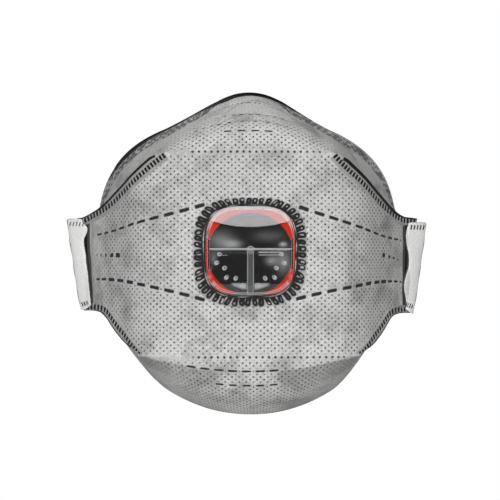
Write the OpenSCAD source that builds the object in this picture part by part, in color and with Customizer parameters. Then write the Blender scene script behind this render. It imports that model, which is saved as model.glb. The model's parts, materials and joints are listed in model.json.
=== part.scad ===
// Fold-flat painter's respirator mask with an exhalation valve, as it stands open on a face.
// Millimetres. +Z is up, the front of the mask looks along -Y, and the origin is the middle of the face
// opening, level with the valve's axis. Depths are measured back from the front of the centre panel.

/* [Centre panel] */
// Depth of the cup, from the front of the centre panel to the face plane
cup_depth = 46; // [42:1:56]
// Half width of the flat front that carries the valve
front_half_w = 30; // [28:0.5:34]
// Radius of the turn between the front and a flank
corner_r = 27; // [24:0.5:32]
// Angle that a flank turns back from the front
flank_angle = 56; // [46:1:60]
// Half width across the side edges, where the strap tabs start
side_half_w = 69; // [64:0.5:80]
// Height of the upper fold above the valve's axis
upper_fold_z = 42; // [36:0.5:50]
// Half length of the upper fold
upper_fold_half = 37; // [34:0.5:40]
// Drop of the lower fold below the valve's axis
lower_fold_z = 45.5; // [38:0.5:54]
// Half length of the lower fold
lower_fold_half = 49; // [42:0.5:54]
// Height of the upper corner of a side edge
side_top_z = 14; // [10:0.5:18]
// Drop of the lower corner of a side edge
side_bottom_z = 26; // [20:0.5:30]

/* [Rim] */
// Height of the nose peak above the valve's axis
nose_z = 70; // [64:0.5:84]
// Depth of the nose peak
nose_back = 28; // [22:0.5:34]
// Distance of the nose panel's creases in from the ends of the upper fold
nose_inset = 0.5; // [0:0.5:3]
// Height of the rim where a nose crease meets it
nose_crease_z = 54.5; // [52:0.5:60]
// Depth of the rim where a nose crease meets it
nose_crease_back = 36; // [32:0.5:40]
// Drop of the chin below the valve's axis
chin_z = 72.5; // [66:0.5:86]
// Depth of the chin
chin_back = 32; // [26:0.5:38]
// Distance of the chin panel's creases in from the ends of the lower fold
chin_inset = 13; // [6:0.5:16]
// Drop of the rim where a chin crease meets it
chin_crease_z = 62; // [58:0.5:66]
// Depth of the rim where a chin crease meets it
chin_crease_back = 36; // [32:0.5:40]
// Depth of the rim at a tab corner, behind the side edge
rim_tab_back = 4.5; // [3.5:0.5:8]
// Outward crown of the panels between fold and rim
crown = 2; // [0.5:0.25:3.5]

/* [Laminate] */
// Thickness of the outer cover
cover_t = 0.7; // [0.4:0.1:1]
// Thickness of the filter core
filter_t = 1; // [0.7:0.1:1.6]
// Thickness of the inner lining
lining_t = 0.6; // [0.4:0.1:1]

/* [Seams and seals] */
// Width of the welded lip outside a side seam
seam_lip = 2.6; // [1.5:0.1:4]
// Thickness of the welded lip
seam_t = 0.9; // [0.5:0.1:1.4]
// Depth of the lip's outer face behind the cover's outer face
lip_in = 0.4; // [0:0.1:0.8]
// Distance of the nose clip's ends in from the nose panel's creases
clip_inset = 3.5; // [2:0.5:10]
// Width of the nose clip
clip_w = 5; // [4:0.5:6]
// Distance of the nose clip from the rim
clip_edge = 3; // [2:0.5:4]
// Width of the sealing foam
foam_w = 9; // [6:0.5:12]
// Thickness of the sealing foam
foam_t = 3; // [2:0.25:4]
// How far the foam stands out past the rim
foam_over = 1; // [0:0.25:2]
// Share of a cheek that its foam runs along
foam_end = 0.86; // [0.6:0.02:0.9]

/* [Valve] */
// Bore of the valve seat
seat_bore = 32.6; // [28:0.2:40]
// Width of the seat's sealing lip
seat_lip = 1; // [0.7:0.1:1.4]
// Height of the sealing lip ahead of the base plate
lip_h = 0.8; // [0.5:0.1:1.2]
// How far the flap reaches over the sealing lip
flap_over = 0.7; // [0.4:0.1:1.2]
// Thickness of the flap
flap_t = 0.6; // [0.4:0.1:1]
// Height of the flap's upper edge that is held
flap_root = 3.5; // [3:0.25:4.5]
// Margin of the base plate around the flap
base_margin = 0.5; // [0.4:0.1:1.5]
// Thickness of the base plate
base_t = 2; // [1.6:0.1:2.6]
// Wall of the spigot that passes through the fabric
spigot_wall = 1.2; // [1:0.1:2]
// Corner radius of the clear cover
valve_corner_r = 11; // [9:0.5:13]
// Wall of the clear cover
valve_wall = 0.8; // [0.6:0.1:1.2]
// Front of the hood ahead of the fabric
hood_front = 11; // [10:0.25:13]
// Front of the lower panes ahead of the fabric
pane_front = 9.5; // [8.5:0.25:10]
// Lower edge of the hood above the valve's axis
hood_edge_z = 0.75; // [-2:0.25:3]
// Width of the mullion between the two panes
mullion_w = 2.8; // [2:0.1:4]
// Width of the toothed weld around the cover
weld_w = 5; // [3.5:0.25:6]
// Thickness of the toothed weld
weld_t = 0.8; // [0.5:0.1:1.2]
// Width of the spokes under the flap
spoke_w = 1.4; // [1:0.1:2]
// Height of the bar that holds the flap
clamp_bar_h = 2.4; // [2:0.1:3]
// Thickness of the bar that holds the flap, ahead of the flap
clamp_bar_t = 0.8; // [0.6:0.1:1.4]
// Diameter of the bar's pegs
peg_d = 1.6; // [1.2:0.1:2]
// Width of the clamp ring on the lining, around the hole
clamp_land = 4; // [2.5:0.5:6]
// Thickness of the clamp ring
clamp_t = 1.6; // [1.2:0.1:2.4]
// Height of the mullion ahead of the panes
rib_h = 0.5; // [0.2:0.1:1]
// Width of each air slot at the cover's foot
outlet_w = 11; // [8:0.5:13]
// Level ahead of the fabric where the air slots start
outlet_from = 4; // [3.5:0.25:5]
// Pips on the inside of each pane
pip_count = 6; // [4:1:7]
// Diameter of a pip
pip_d = 1; // [0.6:0.1:1.4]
// Height of a pip
pip_h = 0.35; // [0.2:0.05:0.5]
// Distance of the inner pips from the valve's axis
pip_near = 13.6; // [12:0.1:14.4]
// Distance of the outer pips from the valve's axis
pip_far = 15.6; // [15:0.1:16.4]
// Angle of the first pip below the level line
pip_first = 6; // [6:1:12]
// Angle of the last pip below the level line
pip_last = 76; // [66:1:78]

/* [Strap tabs] */
// Width of a strap tab, from the side edge outward
tab_w = 13.5; // [10:0.5:18]
// Angle that a tab turns back from the front
tab_angle = 36; // [28:1:48]
// How far a tab's foot lies inward of its head
tab_lean = 6; // [2:0.5:8]
// Thickness of a tab
tab_t = 1.4; // [1:0.1:2]
// Thickness of the white strap loop
loop_t = 0.9; // [0.6:0.1:1.4]
// Gap that the strap loop leaves for a strap
loop_bow = 2.6; // [1.5:0.1:3.5]
// Length of each welded end of the strap loop
loop_land = 5; // [4:0.5:7]
// Bare strip of tab between the side edge and the strap loop
loop_inset = 1.2; // [0.8:0.2:2]

/* [Fits] */
// Gap along folds, creases and butted seams
fold_gap = 0.3; // [0.2:0.05:0.5]
// Gap on each side of the filter core
core_gap = 0.12; // [0.1:0.02:0.2]
// Gap at the creases beside the nose and chin panels
crease_gap = 0.9; // [0.7:0.1:1.5]
// Gap between a side edge and its tab
tab_gap = 0.8; // [0.6:0.1:1.2]
// Gap between nested valve pieces
valve_gap = 0.2; // [0.1:0.05:0.3]
// Radial running gap between the clamp ring and the spigot
clamp_gap = 0.05; // [0.02:0.01:0.1]

/* [Hidden] */
$fn = 48;
laminate = cover_t + filter_t + lining_t;
FAR = 200;

// Where the cover, filter and lining lie, as depths in from the outer face
COVER = [0, cover_t];
FILTER = [cover_t + core_gap, cover_t + filter_t - core_gap];
LINING = [cover_t + filter_t, laminate];
FOAM = [laminate + core_gap, laminate + foam_t];

// Plan of the centre panel: flat front, round turn, straight flank
turn_x = front_half_w + corner_r * sin(flank_angle);
turn_depth = corner_r * (1 - cos(flank_angle));
TURN_STEPS = 8;

// Rim handles, which set how full the curves between the rim's points are
nose_round = 12;
nose_handle = [18, 5, -9];
cheek_handle = [21, 5, -10.5];
cheek_end_handle = [-5, 6.5, 18];
chin_round = 16;
chin_handle = [9, 2, 6];
jaw_end_handle = [-11, 5, -16];

// Valve levels, as depths ahead of the fabric
seat_front = base_t + lip_h;
flap_front = seat_front + flap_t;
lip_d = seat_bore + 2 * seat_lip;
flap_d = lip_d + 2 * flap_over;
flap_hinge_z = flap_d / 2 - flap_root;
base_w = flap_d + 2 * base_margin;
valve_w = base_w + 2 * valve_gap + 2 * valve_wall;
spigot_d = seat_bore + 2 * spigot_wall;
hole_d = spigot_d + 2 * valve_gap;
clamp_d = hole_d + 2 * clamp_land;

// The bar's pegs stand just outside the sealing lip
peg_z = flap_hinge_z + valve_gap + clamp_bar_h - peg_d / 2;
peg_x = sqrt(pow(lip_d / 2 + peg_d / 2 + valve_gap, 2) - peg_z * peg_z);
clamp_bar_l = 2 * peg_x + peg_d;

// Shared curves

function unit(v) = v / norm(v);

function bezier(p, t) =
    let (s = 1 - t)
    s * s * s * p[0] + 3 * s * s * t * p[1] + 3 * s * t * t * p[2] + t * t * t * p[3];

// Depth of the centre panel's outer face at half width x
function plan_depth(x) =
    let (a = abs(x))
    a <= front_half_w ? 0
    : a <= turn_x ? corner_r - sqrt(corner_r * corner_r - pow(a - front_half_w, 2))
    : turn_depth + (a - turn_x) * tan(flank_angle);

// Right half of the plan's line, off behind the outer face, running out past the side edge
function plan_half(off) = concat(
    [for (i = [0 : TURN_STEPS])
        let (a = flank_angle * i / TURN_STEPS)
        [front_half_w + (corner_r - off) * sin(a), corner_r - (corner_r - off) * cos(a)]],
    [[turn_x - off * sin(flank_angle) + FAR * cos(flank_angle),
      turn_depth + off * cos(flank_angle) + FAR * sin(flank_angle)]]
);

function reversed(list) = [for (i = [len(list) - 1 : -1 : 0]) list[i]];

// The whole plan line, from left to right
function plan_line(off) = concat([for (p = reversed(plan_half(off))) [-p[0], p[1]]], plan_half(off));

// Slanting depth of the laminate, measured straight back at half width x
function laminate_depth(x) =
    let (a = abs(x) <= front_half_w ? 0
        : abs(x) >= turn_x ? flank_angle
        : asin((abs(x) - front_half_w) / corner_r))
    laminate / cos(a);

// Side seams as straight lines in the front view
function upper_seam_z(x) =
    upper_fold_z + (x - upper_fold_half) * (side_top_z - upper_fold_z) / (side_half_w - upper_fold_half);
function lower_edge_z(x) =
    x <= lower_fold_half ? -lower_fold_z
    : -lower_fold_z + (x - lower_fold_half) * (lower_fold_z - side_bottom_z) / (side_half_w - lower_fold_half);

// Rim corners beside the tabs
side_depth = plan_depth(side_half_w);
tab_inset = fold_gap + laminate;
upper_tab_corner = [side_half_w - tab_inset, side_depth + rim_tab_back, side_top_z + fold_gap];
lower_tab_corner = [side_half_w - tab_inset, side_depth + rim_tab_back, -side_bottom_z - fold_gap];
nose_half_w = upper_fold_half - nose_inset;
chin_half_w = lower_fold_half - chin_inset;
nose_crease = [nose_half_w, nose_crease_back, nose_crease_z];
chin_crease = [chin_half_w, chin_crease_back, -chin_crease_z];

// Panels between a fold or seam, at v = 0, and the rim, at v = 1. The nose and chin run from u = -1 to 1,
// and the right cheek and jaw from u = 0 at the crease to 1 at the tab.
function rim(zone, u) =
    zone == "nose" ?
        let (p = bezier([[0, nose_back, nose_z], [nose_round, nose_back, nose_z],
            nose_crease - nose_handle, nose_crease], abs(u)))
        [sign(u) * p[0], p[1], p[2]]
    : zone == "chin" ?
        let (p = bezier([[0, chin_back, -chin_z], [chin_round, chin_back, -chin_z],
            chin_crease - chin_handle, chin_crease], abs(u)))
        [sign(u) * p[0], p[1], p[2]]
    : zone == "cheek" ?
        bezier([nose_crease, nose_crease + cheek_handle,
            upper_tab_corner + cheek_end_handle, upper_tab_corner], u)
    : bezier([chin_crease, chin_crease + chin_handle,
            lower_tab_corner + jaw_end_handle, lower_tab_corner], u);

// How far a nose or chin panel leans back from upright where it leaves its fold
function fold_tilt(fold, rim) =
    let (reach = rim - fold)
    atan2(reach[1], abs(reach[2])) - atan(4 * crown / norm(reach));

// The outer face of a nose or chin panel starts above or below its fold, so that its inner face starts at it
function fold_foot(fold, rim) =
    let (tilt = fold_tilt(fold, rim))
    fold + [0, laminate * (1 - cos(tilt)), sign(fold[2]) * (laminate * sin(tilt) + fold_gap)];

function foot(zone, u) =
    zone == "nose" ?
        let (x = u * nose_half_w)
        fold_foot([x, plan_depth(x), upper_fold_z], rim(zone, u))
    : zone == "chin" ?
        let (x = u * chin_half_w)
        fold_foot([x, plan_depth(x), -lower_fold_z], rim(zone, u))
    : zone == "cheek" ?
        let (x = nose_half_w + u * (upper_tab_corner[0] - nose_half_w))
        [x, plan_depth(x) + laminate_depth(x) + fold_gap, upper_seam_z(max(x, upper_fold_half))]
    : let (x = chin_half_w + u * (lower_tab_corner[0] - chin_half_w))
        [x, plan_depth(x) + laminate_depth(x) + fold_gap, lower_edge_z(x)];

function facing(zone) = zone == "nose" || zone == "cheek" ? 1 : -1;

STEP = 0.01;

function panel_point(zone, u, v) =
    let (
        low = foot(zone, u),
        high = rim(zone, u),
        along = foot(zone, u + STEP) - foot(zone, u - STEP),
        out = facing(zone) * unit(cross(along, high - low))
    )
    low + (high - low) * v + crown * 4 * v * (1 - v) * out;

function panel_normal(zone, u, v) =
    facing(zone) * unit(cross(
        panel_point(zone, u + STEP, v) - panel_point(zone, u - STEP, v),
        panel_point(zone, u, v + STEP) - panel_point(zone, u, v - STEP)));

function panel_layer(zone, us, vs, off) =
    [for (u = us) for (v = vs) panel_point(zone, u, v) - off * panel_normal(zone, u, v)];

function spread(from, to, steps) = [for (i = [0 : steps]) from + (to - from) * i / steps];

// A closed solid between two offsets of a panel, over a grid of us by vs
module panel_patch(zone, us, vs, offs) {
    rows = len(us);
    cols = len(vs);
    count = rows * cols;
    outer = panel_layer(zone, us, vs, offs[0]);
    inner = panel_layer(zone, us, vs, offs[1]);
    edge = concat(
        [for (i = [0 : rows - 2]) i * cols],
        [for (j = [0 : cols - 2]) (rows - 1) * cols + j],
        [for (i = [rows - 1 : -1 : 1]) i * cols + cols - 1],
        [for (j = [cols - 1 : -1 : 1]) j]);
    skin = [for (i = [0 : rows - 2]) for (j = [0 : cols - 2])
        let (a = i * cols + j, b = a + cols)
        each [[a, b, b + 1], [a, b + 1, a + 1]]];
    walls = [for (k = [0 : len(edge) - 1])
        let (a = edge[k], b = edge[(k + 1) % len(edge)])
        each [[a, a + count, b + count], [a, b + count, b]]];
    faces = concat(
        [for (f = skin) [f[2], f[1], f[0]]],
        [for (f = skin) [f[0] + count, f[1] + count, f[2] + count]],
        [for (f = walls) [f[2], f[1], f[0]]]);
    polyhedron(
        concat(outer, inner),
        facing(zone) > 0 ? faces : [for (f = faces) [f[2], f[1], f[0]]]);
}

// Moves from depths to the part's frame
module in_cup() {
    translate([0, -cup_depth, 0]) children();
}

module both_sides() {
    children();
    mirror([1, 0, 0]) children();
}

// Centre panel

// The bent sheet between two offsets, taller than the panel
module bent_sheet(offs) {
    translate([0, 0, -FAR / 2])
        linear_extrude(FAR)
            polygon(concat(plan_line(offs[0]), reversed(plan_line(offs[1]))));
}

// A front view outline, as a prism through the whole depth
module front_prism() {
    rotate([90, 0, 0])
        translate([0, 0, -FAR])
            linear_extrude(2 * FAR)
                children();
}

module center_outline() {
    polygon([
        [upper_fold_half, upper_fold_z], [side_half_w, side_top_z], [side_half_w, -side_bottom_z],
        [lower_fold_half, -lower_fold_z], [-lower_fold_half, -lower_fold_z], [-side_half_w, -side_bottom_z],
        [-side_half_w, side_top_z], [-upper_fold_half, upper_fold_z]]);
}

module center_layer(offs) {
    in_cup()
        difference() {
            intersection() {
                bent_sheet(offs);
                front_prism() center_outline();
            }
            front_prism() circle(d = hole_d);
        }
}

module center_cover() {
    color("silver") center_layer(COVER);
}

module center_filter() {
    color("dimgray") center_layer(FILTER);
}

module center_lining() {
    color("white") center_layer(LINING);
}

// Upper and lower panels

nose_us = spread(-1 + crease_gap / nose_half_w, 1 - crease_gap / nose_half_w, 20);
chin_us = spread(-1 + crease_gap / chin_half_w, 1 - crease_gap / chin_half_w, 16);
cheek_us = spread(crease_gap / (upper_tab_corner[0] - nose_half_w), 1, 12);
jaw_us = spread(crease_gap / (lower_tab_corner[0] - chin_half_w), 1, 12);
panel_vs = spread(0, 1, 8);

// Places along the nose panel's middle, as shares of the way from fold to rim
nose_reach = norm(rim("nose", 0) - foot("nose", 0));
clip_vs = [1 - (clip_edge + clip_w) / nose_reach, 1 - clip_edge / nose_reach];
foam_vs = [1 - foam_w / nose_reach, 1 + foam_over / nose_reach];

module nose_cover() {
    color("silver") in_cup() panel_patch("nose", nose_us, panel_vs, COVER);
}

// The filter core stops below the nose clip
module nose_filter() {
    color("dimgray") in_cup() panel_patch("nose", nose_us, spread(0, clip_vs[0] - fold_gap / nose_reach, 6), FILTER);
}

module nose_lining() {
    color("white") in_cup() panel_patch("nose", nose_us, panel_vs, LINING);
}

module cheek_covers() {
    color("silver") in_cup() both_sides() panel_patch("cheek", cheek_us, panel_vs, COVER);
}

module cheek_filters() {
    color("dimgray") in_cup() both_sides() panel_patch("cheek", cheek_us, panel_vs, FILTER);
}

module cheek_linings() {
    color("white") in_cup() both_sides() panel_patch("cheek", cheek_us, panel_vs, LINING);
}

module chin_cover() {
    color("silver") in_cup() panel_patch("chin", chin_us, panel_vs, COVER);
}

module chin_filter() {
    color("dimgray") in_cup() panel_patch("chin", chin_us, panel_vs, FILTER);
}

module chin_lining() {
    color("white") in_cup() panel_patch("chin", chin_us, panel_vs, LINING);
}

module jaw_covers() {
    color("silver") in_cup() both_sides() panel_patch("jaw", jaw_us, panel_vs, COVER);
}

module jaw_filters() {
    color("dimgray") in_cup() both_sides() panel_patch("jaw", jaw_us, panel_vs, FILTER);
}

module jaw_linings() {
    color("white") in_cup() both_sides() panel_patch("jaw", jaw_us, panel_vs, LINING);
}

// The bar of soft metal lies between cover and lining, in the filter's level
module nose_clip() {
    reach = 1 - clip_inset / nose_half_w;
    color("lightgray")
        in_cup() panel_patch("nose", spread(-reach, reach, 18), spread(clip_vs[0], clip_vs[1], 2), FILTER);
}

module nose_foam() {
    color("black")
        in_cup() panel_patch("nose", nose_us, spread(foam_vs[0], foam_vs[1], 3), FOAM);
}

module cheek_foams() {
    color("black")
        in_cup()
            both_sides()
                panel_patch("cheek", spread(cheek_us[0], foam_end, 10), spread(foam_vs[0], foam_vs[1], 3), FOAM);
}

// Side seams: welded lips that carry the centre panel on past the joint line

module seam(a, b) {
    along = unit(b - a);
    out = [along[1], -along[0]];
    near = fold_gap / 2;
    color("gainsboro")
        in_cup()
            intersection() {
                bent_sheet([lip_in, lip_in + seam_t]);
                front_prism()
                    polygon([a + near * out, a + (near + seam_lip) * out, b + (near + seam_lip) * out, b + near * out]);
            }
}

module upper_right_seam() {
    seam([side_half_w, side_top_z], [upper_fold_half, upper_fold_z]);
}

module lower_right_seam() {
    seam([lower_fold_half, -lower_fold_z], [side_half_w, -side_bottom_z]);
}

module upper_left_seam() {
    mirror([1, 0, 0]) upper_right_seam();
}

module lower_left_seam() {
    mirror([1, 0, 0]) lower_right_seam();
}

// Valve

// Extrudes a front view shape between two levels ahead of the fabric
module ahead(from, to) {
    in_cup()
        rotate([90, 0, 0])
            translate([0, 0, from])
                linear_extrude(to - from)
                    children();
}

module rounded(w, r) {
    square([w, w - 2 * r], center = true);
    square([w - 2 * r, w], center = true);
    for (x = [-1, 1], y = [-1, 1])
        translate([x * (w / 2 - r), y * (w / 2 - r)])
            circle(r);
}

module ring(outer_d, inner_d) {
    difference() {
        circle(d = outer_d);
        circle(d = inner_d);
    }
}

module above(level) {
    translate([-FAR / 2, level]) square([FAR, FAR]);
}

module valve_weld_ring() {
    color("dimgray")
        ahead(0, weld_t)
            difference() {
                rounded(valve_w + 2 * valve_gap + 2 * weld_w, valve_corner_r + valve_gap + weld_w);
                rounded(valve_w + 2 * valve_gap, valve_corner_r + valve_gap);
            }
}

// Plate, sealing lip, spokes under the flap, and a spigot through the fabric
module valve_base() {
    color("firebrick") {
        ahead(0, base_t)
            difference() {
                rounded(base_w, valve_corner_r - valve_wall - valve_gap);
                circle(d = seat_bore);
            }
        ahead(0, seat_front)
            ring(lip_d, seat_bore);
        ahead(-laminate - clamp_t, 0)
            ring(spigot_d, seat_bore);
        ahead(base_t - spoke_w, base_t) {
            square([seat_bore + seat_lip, spoke_w], center = true);
            square([spoke_w, seat_bore + seat_lip], center = true);
        }
    }
}

module valve_flap() {
    color("black")
        ahead(seat_front, flap_front)
            difference() {
                circle(d = flap_d);
                above(flap_hinge_z);
            }
}

// Bar that holds the flap's upper edge, on two pegs
module flap_clamp() {
    color("black") {
        ahead(seat_front, flap_front + clamp_bar_t)
            translate([-clamp_bar_l / 2, flap_hinge_z + valve_gap])
                square([clamp_bar_l, clamp_bar_h]);
        ahead(base_t, seat_front)
            for (x = [-1, 1])
                translate([x * peg_x, peg_z])
                    circle(d = peg_d);
    }
}

// Clear moulding: a hood over the flap's clamp, two panes below it, and two slots out at the foot
module valve_cover() {
    inner_w = valve_w - 2 * valve_wall;
    inner_r = valve_corner_r - valve_wall;
    color("lightcyan", 0.5) {
        difference() {
            union() {
                ahead(0, pane_front) rounded(valve_w, valve_corner_r);
                ahead(0, hood_front)
                    intersection() {
                        rounded(valve_w, valve_corner_r);
                        above(hood_edge_z);
                    }
            }
            ahead(-1, pane_front - valve_wall) rounded(inner_w, inner_r);
            ahead(-1, hood_front - valve_wall)
                intersection() {
                    rounded(inner_w, inner_r);
                    above(hood_edge_z + valve_wall);
                }
            ahead(outlet_from, pane_front - valve_wall)
                for (x = [-1, 1])
                    translate([x * (mullion_w / 2 + outlet_w / 2) - outlet_w / 2, -valve_w])
                        square([outlet_w, valve_w / 2 + valve_corner_r / 2]);
        }
        ahead(pane_front - valve_wall, pane_front + rib_h)
            translate([-mullion_w / 2, -valve_w / 2 + valve_wall])
                square([mullion_w, valve_w / 2 - valve_wall + hood_edge_z + valve_wall / 2]);
        for (side = [-1, 1], i = [0 : pip_count - 1])
            let (a = pip_first + i * (pip_last - pip_first) / (pip_count - 1), r = i % 2 == 0 ? pip_near : pip_far)
            ahead(pane_front - valve_wall - pip_h, pane_front - valve_wall)
                translate([side * r * cos(a), -r * sin(a)])
                    circle(d = pip_d, $fn = 16);
    }
}

module valve_clamp_ring() {
    color("gray")
        ahead(-laminate - clamp_t, -laminate)
            ring(clamp_d, spigot_d + 2 * clamp_gap);
}

// Strap tabs and loops

tab_foot = -side_bottom_z + fold_gap;
tab_head = side_top_z - fold_gap;

// Places a right tab's own frame: x out along the tab, y back through it
module on_right_tab() {
    in_cup()
        translate([side_half_w + tab_gap, side_depth + tab_t / 2, 0])
            rotate([0, 0, tab_angle])
                translate([0, -tab_t / 2, 0])
                    children();
}

module tab_outline(from) {
    polygon([[from, tab_foot], [tab_w - tab_lean, tab_foot], [tab_w, tab_head], [from, tab_head]]);
}

module right_strap_tab() {
    color("silver")
        on_right_tab()
            translate([0, tab_t, 0])
                rotate([90, 0, 0])
                    linear_extrude(tab_t)
                        tab_outline(0);
}

// Distance of the strap loop from its tab at height z: flat ends and a smooth bow between them
function loop_stand(z) =
    let (s = (z - tab_foot - loop_land) / (tab_head - tab_foot - 2 * loop_land))
    s <= 0 || s >= 1 ? 0 : loop_bow * pow(sin(180 * s), 0.7);

module right_strap_loop() {
    zs = concat([tab_foot], spread(tab_foot + loop_land, tab_head - loop_land, 14), [tab_head]);
    color("white")
        on_right_tab()
            intersection() {
                rotate([180, 0, 0])
                    rotate([0, 90, 0])
                        linear_extrude(tab_w)
                            polygon(concat(
                                [for (z = zs) [z, loop_stand(z)]],
                                [for (z = reversed(zs)) [z, loop_stand(z) + loop_t]]));
                front_prism() tab_outline(loop_inset);
            }
}

module left_strap_tab() {
    mirror([1, 0, 0]) right_strap_tab();
}

module left_strap_loop() {
    mirror([1, 0, 0]) right_strap_loop();
}

center_cover();
center_filter();
center_lining();
nose_cover();
nose_filter();
nose_lining();
cheek_covers();
cheek_filters();
cheek_linings();
chin_cover();
chin_filter();
chin_lining();
jaw_covers();
jaw_filters();
jaw_linings();
upper_left_seam();
upper_right_seam();
lower_left_seam();
lower_right_seam();
nose_clip();
nose_foam();
cheek_foams();
valve_weld_ring();
valve_base();
valve_flap();
flap_clamp();
valve_cover();
valve_clamp_ring();
left_strap_tab();
right_strap_tab();
left_strap_loop();
right_strap_loop();
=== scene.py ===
# %% [markdown]
# # A fold-flat painter's mask
# The mask is three panels of grey bonded fabric, welded at the sides, with a clear-covered breathing valve in
# the middle and a white strap loop at each side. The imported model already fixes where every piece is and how
# it moves. This lesson makes the look: each soft piece is a surface worked out with numpy in the same frame.

# %% Load the frame
import json
import math

import bpy
import numpy as np
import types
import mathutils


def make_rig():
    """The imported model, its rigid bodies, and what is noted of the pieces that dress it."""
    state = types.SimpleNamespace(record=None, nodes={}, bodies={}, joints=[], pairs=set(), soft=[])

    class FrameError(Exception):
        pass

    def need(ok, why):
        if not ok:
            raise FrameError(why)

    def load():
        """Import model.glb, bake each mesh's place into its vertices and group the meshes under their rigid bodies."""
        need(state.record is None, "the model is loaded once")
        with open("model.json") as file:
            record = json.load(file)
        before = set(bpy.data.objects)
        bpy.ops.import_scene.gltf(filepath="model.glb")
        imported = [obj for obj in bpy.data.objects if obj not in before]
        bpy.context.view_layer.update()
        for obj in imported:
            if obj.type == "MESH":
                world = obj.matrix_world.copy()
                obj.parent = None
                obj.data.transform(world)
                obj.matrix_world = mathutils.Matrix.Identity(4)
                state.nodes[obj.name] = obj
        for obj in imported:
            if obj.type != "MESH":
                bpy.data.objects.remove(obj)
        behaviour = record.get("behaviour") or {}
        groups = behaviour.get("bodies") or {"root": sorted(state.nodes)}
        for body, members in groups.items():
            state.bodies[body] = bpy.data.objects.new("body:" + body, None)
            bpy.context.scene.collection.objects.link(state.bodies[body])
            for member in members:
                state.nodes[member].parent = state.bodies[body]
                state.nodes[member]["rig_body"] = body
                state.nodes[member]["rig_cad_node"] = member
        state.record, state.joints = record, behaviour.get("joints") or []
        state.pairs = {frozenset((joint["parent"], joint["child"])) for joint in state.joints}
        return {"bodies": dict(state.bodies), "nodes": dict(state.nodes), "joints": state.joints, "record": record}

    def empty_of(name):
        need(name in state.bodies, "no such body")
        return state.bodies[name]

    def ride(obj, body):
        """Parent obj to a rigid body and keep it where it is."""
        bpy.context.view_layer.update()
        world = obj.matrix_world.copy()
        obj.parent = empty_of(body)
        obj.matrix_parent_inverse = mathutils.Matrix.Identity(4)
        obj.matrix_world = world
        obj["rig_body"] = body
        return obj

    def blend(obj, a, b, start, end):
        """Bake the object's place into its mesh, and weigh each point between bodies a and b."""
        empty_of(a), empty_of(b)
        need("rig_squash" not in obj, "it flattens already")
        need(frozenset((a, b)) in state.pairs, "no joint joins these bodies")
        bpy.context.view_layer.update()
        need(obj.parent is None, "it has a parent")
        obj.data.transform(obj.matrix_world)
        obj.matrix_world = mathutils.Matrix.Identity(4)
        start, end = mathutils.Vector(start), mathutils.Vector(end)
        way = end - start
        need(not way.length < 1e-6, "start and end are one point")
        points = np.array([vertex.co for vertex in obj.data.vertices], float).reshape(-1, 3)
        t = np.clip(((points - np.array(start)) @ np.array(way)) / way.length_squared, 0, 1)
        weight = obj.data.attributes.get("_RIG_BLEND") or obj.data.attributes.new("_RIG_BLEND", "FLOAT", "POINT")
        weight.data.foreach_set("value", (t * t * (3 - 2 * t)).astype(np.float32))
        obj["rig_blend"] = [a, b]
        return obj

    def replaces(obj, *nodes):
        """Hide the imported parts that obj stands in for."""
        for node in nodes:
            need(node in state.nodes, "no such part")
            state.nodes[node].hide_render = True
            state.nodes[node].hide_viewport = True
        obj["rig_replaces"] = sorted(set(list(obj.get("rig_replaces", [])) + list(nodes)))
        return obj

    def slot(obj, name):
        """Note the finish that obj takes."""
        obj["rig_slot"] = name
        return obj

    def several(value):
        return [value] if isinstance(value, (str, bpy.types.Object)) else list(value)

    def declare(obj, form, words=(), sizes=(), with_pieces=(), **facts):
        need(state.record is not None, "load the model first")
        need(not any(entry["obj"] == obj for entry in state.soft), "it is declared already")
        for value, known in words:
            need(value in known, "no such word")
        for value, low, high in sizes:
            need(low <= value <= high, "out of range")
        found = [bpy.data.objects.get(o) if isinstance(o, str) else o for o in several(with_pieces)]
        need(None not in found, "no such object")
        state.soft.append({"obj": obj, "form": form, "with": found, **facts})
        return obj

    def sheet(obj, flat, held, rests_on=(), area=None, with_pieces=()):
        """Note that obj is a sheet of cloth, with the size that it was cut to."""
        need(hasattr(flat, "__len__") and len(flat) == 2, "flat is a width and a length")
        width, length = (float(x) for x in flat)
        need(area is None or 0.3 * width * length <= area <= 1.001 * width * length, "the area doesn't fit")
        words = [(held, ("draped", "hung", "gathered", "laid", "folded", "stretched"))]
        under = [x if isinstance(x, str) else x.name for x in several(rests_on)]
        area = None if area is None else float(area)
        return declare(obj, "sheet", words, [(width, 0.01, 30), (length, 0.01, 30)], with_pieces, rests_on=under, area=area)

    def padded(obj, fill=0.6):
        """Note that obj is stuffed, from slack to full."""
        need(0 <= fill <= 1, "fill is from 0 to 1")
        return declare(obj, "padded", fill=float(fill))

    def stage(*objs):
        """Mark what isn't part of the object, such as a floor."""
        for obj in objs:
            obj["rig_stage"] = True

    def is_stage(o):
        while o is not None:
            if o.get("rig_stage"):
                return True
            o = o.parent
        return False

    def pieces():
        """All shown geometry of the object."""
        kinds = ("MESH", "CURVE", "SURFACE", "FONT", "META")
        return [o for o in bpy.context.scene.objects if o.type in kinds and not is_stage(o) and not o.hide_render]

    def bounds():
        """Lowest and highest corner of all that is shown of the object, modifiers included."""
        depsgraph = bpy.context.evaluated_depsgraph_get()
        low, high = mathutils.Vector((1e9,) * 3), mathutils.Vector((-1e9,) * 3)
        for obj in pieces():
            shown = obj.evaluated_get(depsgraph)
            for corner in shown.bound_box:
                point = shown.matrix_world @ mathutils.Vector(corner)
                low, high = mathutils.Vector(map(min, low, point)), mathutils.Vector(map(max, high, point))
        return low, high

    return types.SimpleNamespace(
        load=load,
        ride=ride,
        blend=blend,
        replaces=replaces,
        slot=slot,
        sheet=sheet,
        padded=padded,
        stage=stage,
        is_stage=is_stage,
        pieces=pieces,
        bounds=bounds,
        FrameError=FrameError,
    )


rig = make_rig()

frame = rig.load()
cad_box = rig.bounds()
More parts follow.
